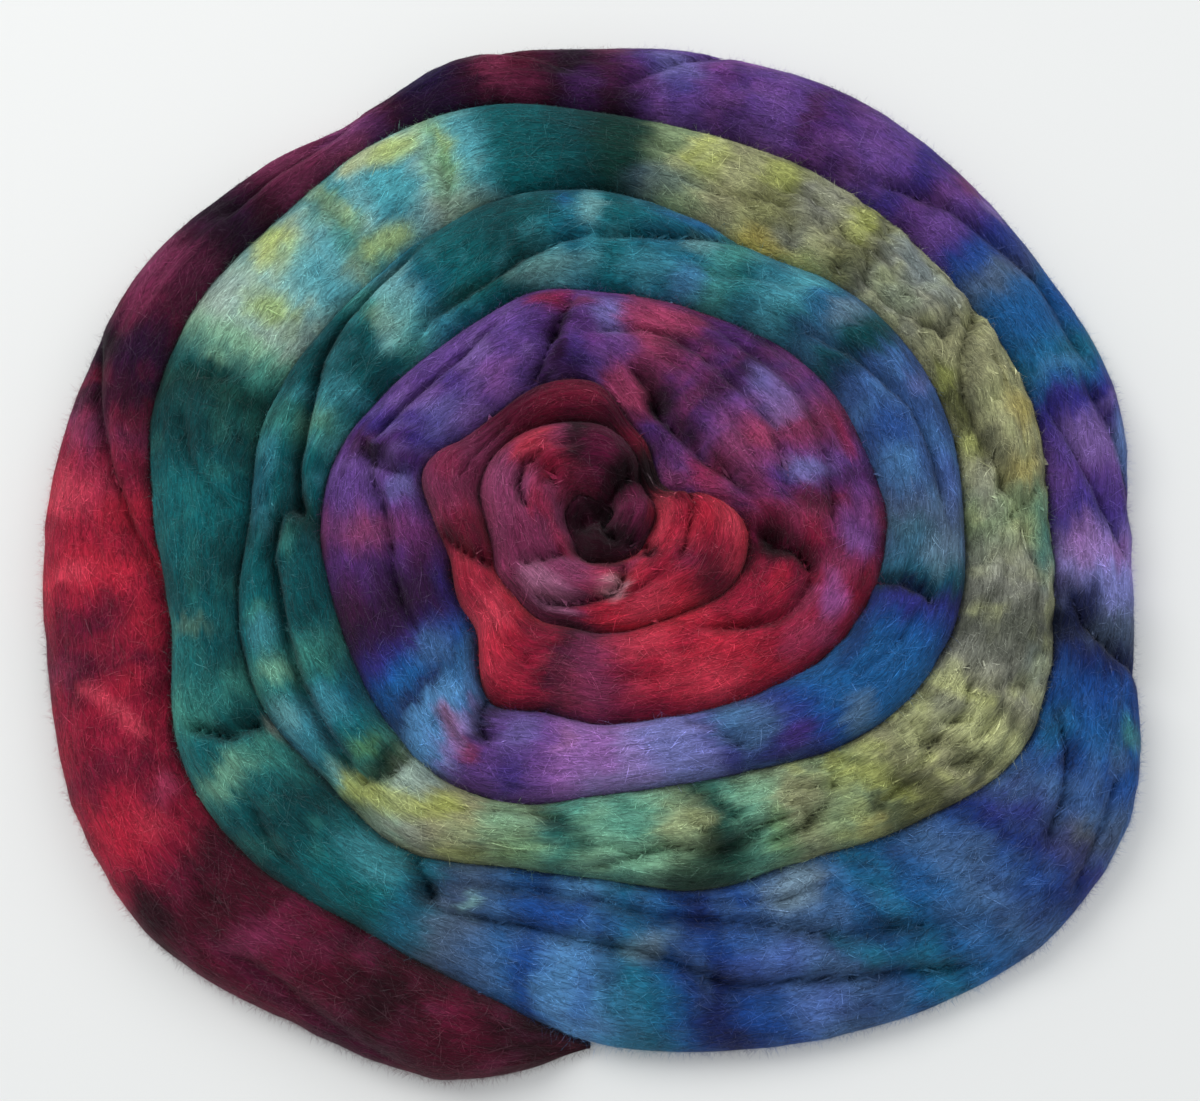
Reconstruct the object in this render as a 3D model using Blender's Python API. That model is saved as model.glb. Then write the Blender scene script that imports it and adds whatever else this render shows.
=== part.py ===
"""A hand-dyed length of combed wool roving, laid down as one flat, loose spiral.

The strand starts at its thin outer end, runs clockwise as seen from above for a little over six
turns, each lying against the one before, and ends in the small rosette at the middle. Its own
soft folds, pinches and lobes are pressed into its upper side. It lies flat on its underside.

Bearings are compass degrees seen from above: 0 is +Y, 90 is +X. They keep rising along the
strand, 360 for each turn. Radii are measured from the middle of the spiral. The tables are in
millimetres and degrees, and the model is in metres with +Z up.
"""
import math

import bmesh
import bpy

MM = 0.001

# The strand as it comes off the comb.
STRAND_WIDTH = 38.0        # usual width of the flattened strand
STRAND_HEIGHT = 27.0       # usual height where it is that wide
WIDE_FLATTENS = 0.4        # how fast a spread stretch loses height: 0 not at all, 1 fully
HIGHEST = 27.5             # a narrow stretch doesn't stand higher than this
NECK_HEIGHT = 1.15         # a thin neck's height for each millimetre of its width
GAP = 1.2                  # clear space between one turn and the next
THINNEST = 5.0             # least wool left under a fold
CORE_EDGE = 4.0            # the innermost turn leaves this much around the middle

# The section: a squashed round with a flat underside.
FOOT = 0.70                # half-width of the flat underside, as a share of the half-width
WAIST = 0.30               # height of the widest point, as a share of the height
SQUARENESS = 2.1           # 2 is an ellipse, higher is boxier
TOP_POINTS = (-0.94, -0.82, -0.64, -0.43, -0.22, 0.0, 0.22, 0.43, 0.64, 0.82, 0.94)

# How far apart the sections stand, in degrees, turn by turn from the outside in.
SECTION_STEPS = (5.0, 5.0, 6.0, 6.0, 7.5, 10.0, 10.0)

# The ends: bearing of the very end, and the length over which the strand thins out to it.
OUTER_END, OUTER_TAPER = 181.0, 16.0
INNER_END, INNER_TAPER = 2590.0, 50.0
END_HEIGHT = 0.30          # share of the height left at each end

# Outer edge of each turn, a row for each bearing. Read down a column and then from the top of
# the next one, they are the strand's outer edge from its outer end to the middle. Read across,
# each turn lies between its own edge and the next.
#   bearing  turn 1  turn 2  turn 3  turn 4  turn 5  turn 6  turn 7
EDGES = (
    (180.0, 213.0, 209.5, 148.5, 116.5, 88.0, 50.0, 20.0),
    (195.0, 230.0, 196.0, 149.0, 124.0, 86.0, 49.5, 20.0),
    (210.0, 234.0, 192.0, 158.0, 127.0, 90.5, 51.0, 18.5),
    (225.0, 244.5, 198.0, 156.0, 123.5, 72.0, 50.0, 16.0),
    (240.0, 243.5, 197.0, 160.0, 119.0, 69.0, 50.0, 15.0),
    (255.0, 237.0, 184.0, 156.0, 118.0, 66.0, 47.5, 14.5),
    (270.0, 236.0, 190.0, 148.5, 119.5, 70.5, 49.5, 15.0),
    (285.0, 235.0, 202.5, 152.5, 117.0, 79.0, 53.5, 15.5),
    (300.0, 235.5, 207.0, 152.0, 111.0, 69.5, 54.0, 15.0),
    (315.0, 228.0, 206.0, 153.0, 107.0, 65.5, 51.5, 15.0),
    (330.0, 226.0, 212.0, 156.0, 107.0, 65.0, 48.5, 13.0),
    (345.0, 233.5, 210.5, 161.0, 111.0, 64.0, 45.0, 11.0),
    (360.0, 231.0, 197.5, 158.5, 107.0, 60.0, 42.0, 10.0),
    (375.0, 236.0, 194.0, 150.0, 107.0, 47.0, 37.0, 9.0),
    (390.0, 238.5, 195.0, 144.0, 109.0, 40.5, 31.0, 9.0),
    (405.0, 234.0, 193.0, 153.0, 115.0, 33.5, 25.0, 8.0),
    (420.0, 231.0, 193.0, 157.5, 119.0, 31.5, 23.0, 7.0),
    (435.0, 232.5, 195.0, 157.5, 120.5, 38.0, 24.0, 6.0),
    (450.0, 225.5, 191.0, 154.5, 123.0, 60.0, 23.5, 5.0),
    (465.0, 228.0, 195.5, 155.0, 119.5, 64.0, 22.0, 4.5),
    (480.0, 246.0, 197.0, 149.0, 112.5, 62.0, 21.5, 4.0),
    (495.0, 245.0, 179.0, 137.0, 102.0, 55.5, 22.0, 4.0),
    (510.0, 232.0, 163.0, 123.0, 94.0, 51.5, 21.0, 4.0),
    (525.0, 219.0, 158.0, 116.0, 89.0, 50.5, 20.5, 4.0),
)
FIRST_BEARING = 180.0
ROW_STEP = 15.0
FULL_TURN = 360.0

# Folds pressed into the upper side. Each is a soft groove along a short path of
# (bearing, radius) points; the turn that it lies on follows from the radius.
#   depth  half-width  path
FOLDS = (
    (5.0, 9.0, ((289, 229), (282, 218), (275, 207), (268, 196), (261, 185))),
    (4.0, 9.0, ((200, 228), (207, 226), (213, 223), (219, 227))),
    (5.0, 9.0, ((311, 217), (321, 216), (328, 220), (332, 230))),
    (5.0, 9.0, ((400, 206), (408, 213), (414, 216), (422, 222), (434, 223))),
    (6.0, 9.0, ((436, 201), (445, 205), (452, 213), (457, 223))),
    (10.0, 10.0, ((466, 229), (465, 217), (463, 206), (461, 199))),
    (5.0, 10.0, ((474, 203), (478, 211), (484, 218), (489, 222))),
    (6.0, 9.0, ((500, 235), (507, 218), (518, 201), (525, 195), (532, 180), (545, 172), (557, 171))),
    (6.0, 9.0, ((499, 220), (505, 204), (511, 196), (517, 182), (525, 171), (538, 158), (548, 156))),
    (12.0, 10.0, ((560, 180), (564, 170), (566, 160))),
    (10.0, 9.0, ((599, 184), (597, 174), (598, 163))),
    (4.0, 10.0, ((693, 161), (696, 171), (695, 190))),
    (4.0, 10.0, ((743, 172), (750, 179), (757, 179), (763, 173))),
    (7.0, 9.0, ((782, 187), (784, 176), (788, 170), (793, 168), (799, 174), (802, 183))),
    (4.0, 10.0, ((834, 190), (833, 178), (839, 171), (848, 165), (854, 159))),
    (6.0, 10.0, ((872, 144), (880, 146), (889, 139), (900, 145))),
    (11.0, 9.0, ((939, 143), (936, 134), (937, 126))),
    (9.0, 9.0, ((941, 147), (950, 143), (968, 140), (982, 137), (992, 131))),
    (11.0, 9.0, ((989, 121), (992, 131), (1003, 133), (1011, 138), (1020, 143), (1030, 149))),
    (6.0, 10.0, ((1035, 116), (1046, 121), (1058, 129), (1069, 136))),
    (5.0, 9.0, ((1072, 137), (1084, 138), (1092, 136), (1099, 138), (1104, 144))),
    (4.0, 10.0, ((1130, 126), (1134, 140), (1143, 147), (1155, 149), (1166, 147))),
    (10.0, 9.0, ((1185, 137), (1183, 128), (1183, 119))),
    (4.0, 9.0, ((1230, 113), (1232, 103), (1237, 95))),
    (9.0, 8.0, ((1286, 106), (1290, 99), (1291, 90))),
    (6.0, 7.5, ((1320, 90), (1332, 89), (1342, 88), (1350, 90), (1357, 95), (1362, 102))),
    (13.0, 8.0, ((1366, 106), (1363, 95), (1364, 81))),
    (5.0, 7.5, ((1367, 101), (1380, 98), (1389, 94), (1400, 92), (1412, 96))),
    (14.0, 9.0, ((1432, 103), (1429, 93), (1426, 82), (1421, 70))),
    (5.0, 7.5, ((1438, 81), (1448, 84), (1458, 87), (1476, 84), (1500, 83), (1528, 80))),
    (4.0, 7.5, ((1469, 104), (1485, 100), (1500, 102), (1520, 99), (1539, 96))),
    (9.0, 7.5, ((1452, 68), (1462, 63), (1472, 54), (1482, 51), (1500, 52), (1514, 60))),
    (13.0, 8.0, ((1545, 93), (1541, 85), (1537, 76), (1534, 65))),
    (6.0, 8.0, ((1545, 92), (1556, 91), (1565, 84), (1573, 73), (1580, 64))),
    (7.0, 7.5, ((1685, 51), (1692, 57), (1698, 62), (1703, 66))),
    (5.0, 6.0, ((1876, 37), (1890, 39), (1905, 38), (1922, 39))),
    (8.0, 5.5, ((1978, 33), (1988, 37), (1998, 40), (2010, 44))),
    (6.0, 5.5, ((2019, 24), (2026, 29), (2032, 36), (2036, 42))),
    (5.0, 5.5, ((2061, 25), (2068, 29), (2076, 36), (2085, 39), (2096, 36), (2097, 29))),
    (12.0, 6.0, ((2198, 29), (2185, 20), (2172, 10))),
)
FOLD_FADE = 0.25           # share of a fold's length over which each end fades out

# Places where the strand swells over what lies under it, or sinks: bearing, radius, reach, rise.
SWELLS = (
    (178, 192, 45.0, 6.0),      # the outermost turn comes down over the thin outer end
    (262, 208, 40.0, 2.0),
    (486, 228, 35.0, 3.0),
    (431, 184, 20.0, 3.0),
    (208, 143, 24.0, 4.0),      # a neck that lies over the next turn in
    (246, 130, 22.0, 2.0),
    (216, 88, 18.0, 5.0),
    (262, 92, 30.0, 3.0),
    (332, 84, 24.0, 6.0),       # a lobe that ends over a deep pocket
    (52, 72, 34.0, 8.0),        # the fan lies over the turn inside it
    (98, 45, 22.0, 5.0),
    (285, 33, 16.0, 2.0),
    (90, 6, 20.0, -9.0),        # the rosette sinks towards its middle
)

NAME = "roving"
BASE_COLOUR = (0.045, 0.085, 0.190, 1.0)   # the deep blue that the dyes mix to
ROUGHNESS = 0.9


def edge_table():
    """The strand's outer edge in one row of radii, from the outer end to the middle."""
    radii = []
    for column in range(1, len(EDGES[0])):
        for row in EDGES:
            radii.append(row[column])
    return radii


EDGE_RADII = edge_table()


def outer_edge(bearing):
    """Radius of the strand's outer edge, on a smooth curve through the table."""
    place = (bearing - FIRST_BEARING) / ROW_STEP
    first = int(math.floor(place))
    share = place - first
    last = len(EDGE_RADII) - 1
    before, start, end, after = [
        EDGE_RADII[i] if i <= last else CORE_EDGE
        for i in (max(first - 1, 0), max(first, 0), first + 1, first + 2)
    ]
    bend_in = (end - before) / 2.0
    bend_out = (after - start) / 2.0
    square, cube = share * share, share * share * share
    return (
        start * (2 * cube - 3 * square + 1)
        + bend_in * (cube - 2 * square + share)
        + end * (3 * square - 2 * cube)
        + bend_out * (cube - square)
    )


def inner_edge(bearing):
    return max(outer_edge(bearing + FULL_TURN), CORE_EDGE)


def plan_point(bearing, radius):
    angle = math.radians(bearing)
    return radius * math.sin(angle), radius * math.cos(angle)


def smooth(share):
    share = min(max(share, 0.0), 1.0)
    return share * share * (3.0 - 2.0 * share)


def fold_lines():
    """Each fold as its depth, half-width, bearings it covers and plan path."""
    lines = []
    for depth, half_width, path in FOLDS:
        points = [plan_point(bearing, radius) for bearing, radius in path]
        middle = sum(bearing for bearing, _ in path) / len(path)
        lengths = [math.dist(a, b) for a, b in zip(points, points[1:])]
        lines.append((depth, half_width, middle, points, lengths))
    return lines


FOLD_LINES = fold_lines()


def fold_depth(bearing, x, y):
    """How far the folds press the upper side in at one place on the strand."""
    pressed = 0.0
    for depth, half_width, middle, points, lengths in FOLD_LINES:
        if abs(bearing - middle) > FULL_TURN / 4.0:
            continue
        total = sum(lengths)
        travelled = 0.0
        nearest, share = half_width, 0.0
        for (ax, ay), (bx, by), length in zip(points, points[1:], lengths):
            along = ((x - ax) * (bx - ax) + (y - ay) * (by - ay)) / (length * length)
            along = min(max(along, 0.0), 1.0)
            distance = math.dist((x, y), (ax + along * (bx - ax), ay + along * (by - ay)))
            if distance < nearest:
                nearest = distance
                share = (travelled + along * length) / total
            travelled += length
        if nearest < half_width:
            fade = smooth(min(share, 1.0 - share) / FOLD_FADE + 0.4)
            pressed = max(pressed, depth * fade * (1.0 - smooth(nearest / half_width)))
    return pressed


def swell(x, y):
    total = 0.0
    for bearing, radius, reach, rise in SWELLS:
        distance = math.dist((x, y), plan_point(bearing, radius))
        total += rise * math.exp(-((distance / reach) ** 2))
    return total


def strand_height(bearing, width):
    height = STRAND_HEIGHT * (STRAND_WIDTH / width) ** WIDE_FLATTENS
    height = min(height, HIGHEST, NECK_HEIGHT * width + THINNEST)
    outer = smooth((bearing - OUTER_END) / OUTER_TAPER)
    inner = smooth((INNER_END - bearing) / INNER_TAPER)
    return height * (END_HEIGHT + (1.0 - END_HEIGHT) * min(outer, inner))


def section(bearing):
    """The ring of points of one cross-section, round from the inner foot to the outer one."""
    outer = outer_edge(bearing) - GAP / 2.0
    inner = inner_edge(bearing) + GAP / 2.0
    half, middle = (outer - inner) / 2.0, (outer + inner) / 2.0
    height = strand_height(bearing, 2.0 * half)
    waist = WAIST * height
    ring = [(-FOOT, 0.0), (-1.0, waist)]
    for across in TOP_POINTS:
        crown = (1.0 - abs(across) ** SQUARENESS) ** (1.0 / SQUARENESS)
        x, y = plan_point(bearing, middle + across * half)
        top = waist + (height + swell(x, y) - waist) * crown - fold_depth(bearing, x, y) * crown
        ring.append((across, max(top, THINNEST * crown + waist * (1.0 - crown))))
    ring += [(1.0, waist), (FOOT, 0.0)]
    points = []
    for across, z in ring:
        x, y = plan_point(bearing, middle + across * half)
        points.append((x, y, z))
    return points


def section_bearings():
    bearings = [OUTER_END]
    while bearings[-1] < INNER_END:
        turn = int((bearings[-1] - FIRST_BEARING) / FULL_TURN)
        step = SECTION_STEPS[turn]
        following = math.floor(bearings[-1] / step + 1.0) * step
        bearings.append(min(following, INNER_END))
    return bearings


def loft(name, rings):
    """A closed mesh through the rings, with both ends capped, in metres."""
    mesh_maker = bmesh.new()
    rows = [[mesh_maker.verts.new(point) for point in ring] for ring in rings]
    count = len(rows[0])
    for row, following in zip(rows, rows[1:]):
        for i in range(count):
            j = (i + 1) % count
            mesh_maker.faces.new((row[i], row[j], following[j], following[i]))
    mesh_maker.faces.new(rows[0][::-1])
    mesh_maker.faces.new(rows[-1])
    bmesh.ops.recalc_face_normals(mesh_maker, faces=mesh_maker.faces)
    mesh = bpy.data.meshes.new(name)
    mesh_maker.to_mesh(mesh)
    mesh_maker.free()
    mesh.shade_smooth()
    return mesh


def centred(rings):
    """The rings in metres, with the middle of the whole outline over the origin."""
    xs = [point[0] for ring in rings for point in ring]
    ys = [point[1] for ring in rings for point in ring]
    shift_x = (min(xs) + max(xs)) / 2.0
    shift_y = (min(ys) + max(ys)) / 2.0
    return [
        [((x - shift_x) * MM, (y - shift_y) * MM, z * MM) for x, y, z in ring]
        for ring in rings
    ]


def wool_material():
    material = bpy.data.materials.new("dyed_combed_wool")
    material.use_nodes = True
    shader = material.node_tree.nodes["Principled BSDF"]
    shader.inputs["Base Color"].default_value = BASE_COLOUR
    shader.inputs["Roughness"].default_value = ROUGHNESS
    shader.inputs["Metallic"].default_value = 0.0
    return material


def build():
    for leftover in list(bpy.data.objects):
        bpy.data.objects.remove(leftover, do_unlink=True)
    collection = bpy.data.collections.new("wool_roving")
    bpy.context.scene.collection.children.link(collection)

    rings = centred([section(bearing) for bearing in section_bearings()])
    roving = bpy.data.objects.new(NAME, loft(NAME, rings))
    roving.data.materials.append(wool_material())
    collection.objects.link(roving)


build()
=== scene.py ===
import math

import bpy
import numpy as np
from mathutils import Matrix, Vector


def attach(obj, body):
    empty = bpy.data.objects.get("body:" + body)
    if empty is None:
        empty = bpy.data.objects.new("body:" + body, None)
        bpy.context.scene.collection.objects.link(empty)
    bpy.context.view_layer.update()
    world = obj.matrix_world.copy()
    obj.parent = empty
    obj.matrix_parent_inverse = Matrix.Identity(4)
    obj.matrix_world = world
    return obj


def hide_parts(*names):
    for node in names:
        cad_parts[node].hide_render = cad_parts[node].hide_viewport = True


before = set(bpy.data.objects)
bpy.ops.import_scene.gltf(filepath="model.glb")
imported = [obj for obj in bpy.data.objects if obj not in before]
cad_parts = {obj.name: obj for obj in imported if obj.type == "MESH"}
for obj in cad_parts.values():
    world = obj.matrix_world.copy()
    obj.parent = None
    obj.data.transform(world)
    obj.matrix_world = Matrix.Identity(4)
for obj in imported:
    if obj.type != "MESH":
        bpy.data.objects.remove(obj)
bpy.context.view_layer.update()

# A hand-dyed length of combed wool roving, laid as a flat clockwise spiral. The strand is made
# as one fine lofted body with its folds and laps pressed in, and thousands of loose fibres are
# combed over it along its own flow. All tables are in millimetres and degrees. Bearings are
# compass degrees from above, 0 at +Y and 90 at +X, and rise by 360 with each turn of the strand.

MM = 0.001
FULL_TURN = 360.0

# ---------------------------------------------------------------- the strand and how it lies

STRAND_WIDTH = 38.0        # usual width of the flattened strand
STRAND_HEIGHT = 27.0       # usual height where it is that wide
WIDE_FLATTENS = 0.4        # how fast a spread stretch loses height
HIGHEST = 27.5             # a stretch of the strand doesn't stand higher than this
NECK_HEIGHT = 1.15         # a thin neck's height for each millimetre of its width
PRESSED_IN = 0.5           # the soft turns press this far into each other
THINNEST = 3.0             # least wool left under a fold
CORE_EDGE = 0.25           # radius that the innermost turn leaves open at the middle
FOOT = 0.70                # half-width of the flat underside, as a share of the half-width
WAIST = 0.30               # height of the widest point, as a share of the height
SQUARENESS = 2.1           # of the section: 2 is an ellipse, higher is boxier
OUTER_END, OUTER_TAPER = 181.0, 16.0       # where each end is, and how long it thins out
INNER_END, INNER_TAPER = 2680.0, 140.0
END_HEIGHT = 0.30          # share of the height left at each end
END_ROUNDING = 7.0         # degrees over which the outer end rounds off in plan
END_NARROWS = 0.9          # how far it narrows there: 1 is a full round

FINE_STEP = 0.25           # degrees between the points that measure the strand's length
STATION_GAP = 2.9          # between one section of the fine body and the next
TOP_COUNT = 44             # points across the top of each section
FUZZ_BAND = 12             # power of the place across: higher keeps the fuzz nearer the edges
UNDER_FUZZ = (0.9, 0.5)    # fuzz under the outer edge: from this far across, this thickly
EDGE_WOBBLE = (0.5, 9.0, 5)    # how far the edges wander, over what length, and layer of noise
WOBBLE_BAND = 6            # power of the place across, as for the fuzz
LEAST_RADIUS = 12.0        # nearer the middle than this, angles are measured as if out here
UNDER_SHAPE = (            # the underside, from the outer waist round to the inner one:
    (1.0, 0.62), (0.96, 0.32), (0.88, 0.10), (FOOT, 0.0), (0.25, 0.0),
    (-0.25, 0.0), (-FOOT, 0.0), (-0.88, 0.10), (-0.96, 0.32), (-1.0, 0.62),
)                          # across, and height as a share of the waist's

# Outer edge of each turn, a row for each bearing. Down a column and on to the top of the next,
# they are the strand's outer edge from its outer end to the middle.
#   bearing  turn 1  turn 2  turn 3  turn 4  turn 5  turn 6  turn 7
EDGES = np.array((
    (180.0, 213.0, 209.5, 148.5, 116.5, 88.0, 50.0, 20.0),
    (195.0, 230.0, 196.0, 149.0, 124.0, 86.0, 49.5, 20.0),
    (210.0, 234.0, 192.0, 158.0, 127.0, 90.5, 51.0, 18.5),
    (225.0, 244.5, 198.0, 156.0, 123.5, 72.0, 50.0, 16.0),
    (240.0, 243.5, 197.0, 160.0, 119.0, 69.0, 50.0, 15.0),
    (255.0, 237.0, 184.0, 156.0, 118.0, 66.0, 47.5, 14.5),
    (270.0, 236.0, 190.0, 148.5, 119.5, 70.5, 49.5, 15.0),
    (285.0, 235.0, 202.5, 152.5, 117.0, 79.0, 53.5, 15.5),
    (300.0, 235.5, 207.0, 152.0, 111.0, 69.5, 54.0, 15.0),
    (315.0, 228.0, 206.0, 153.0, 107.0, 65.5, 51.5, 15.0),
    (330.0, 226.0, 212.0, 156.0, 107.0, 65.0, 48.5, 13.0),
    (345.0, 233.5, 210.5, 161.0, 111.0, 64.0, 45.0, 11.0),
    (360.0, 231.0, 197.5, 158.5, 107.0, 60.0, 42.0, 10.0),
    (375.0, 236.0, 194.0, 150.0, 107.0, 47.0, 37.0, 9.0),
    (390.0, 238.5, 195.0, 144.0, 109.0, 40.5, 31.0, 9.0),
    (405.0, 234.0, 193.0, 153.0, 115.0, 33.5, 25.0, 8.0),
    (420.0, 231.0, 193.0, 157.5, 119.0, 31.5, 23.0, 7.0),
    (435.0, 232.5, 195.0, 157.5, 120.5, 38.0, 24.0, 6.0),
    (450.0, 225.5, 191.0, 154.5, 123.0, 60.0, 23.5, 5.0),
    (465.0, 228.0, 195.5, 155.0, 119.5, 64.0, 22.0, 4.5),
    (480.0, 246.0, 197.0, 149.0, 112.5, 62.0, 21.5, 4.0),
    (495.0, 245.0, 179.0, 137.0, 102.0, 55.5, 22.0, 4.0),
    (510.0, 232.0, 163.0, 123.0, 94.0, 51.5, 21.0, 4.0),
    (525.0, 219.0, 158.0, 116.0, 89.0, 50.5, 20.5, 4.0),
))
FIRST_BEARING = 180.0
ROW_STEP = 15.0
EDGE_RADII = np.append(EDGES[:, 1:].T.ravel(), [CORE_EDGE] * 3)

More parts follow.
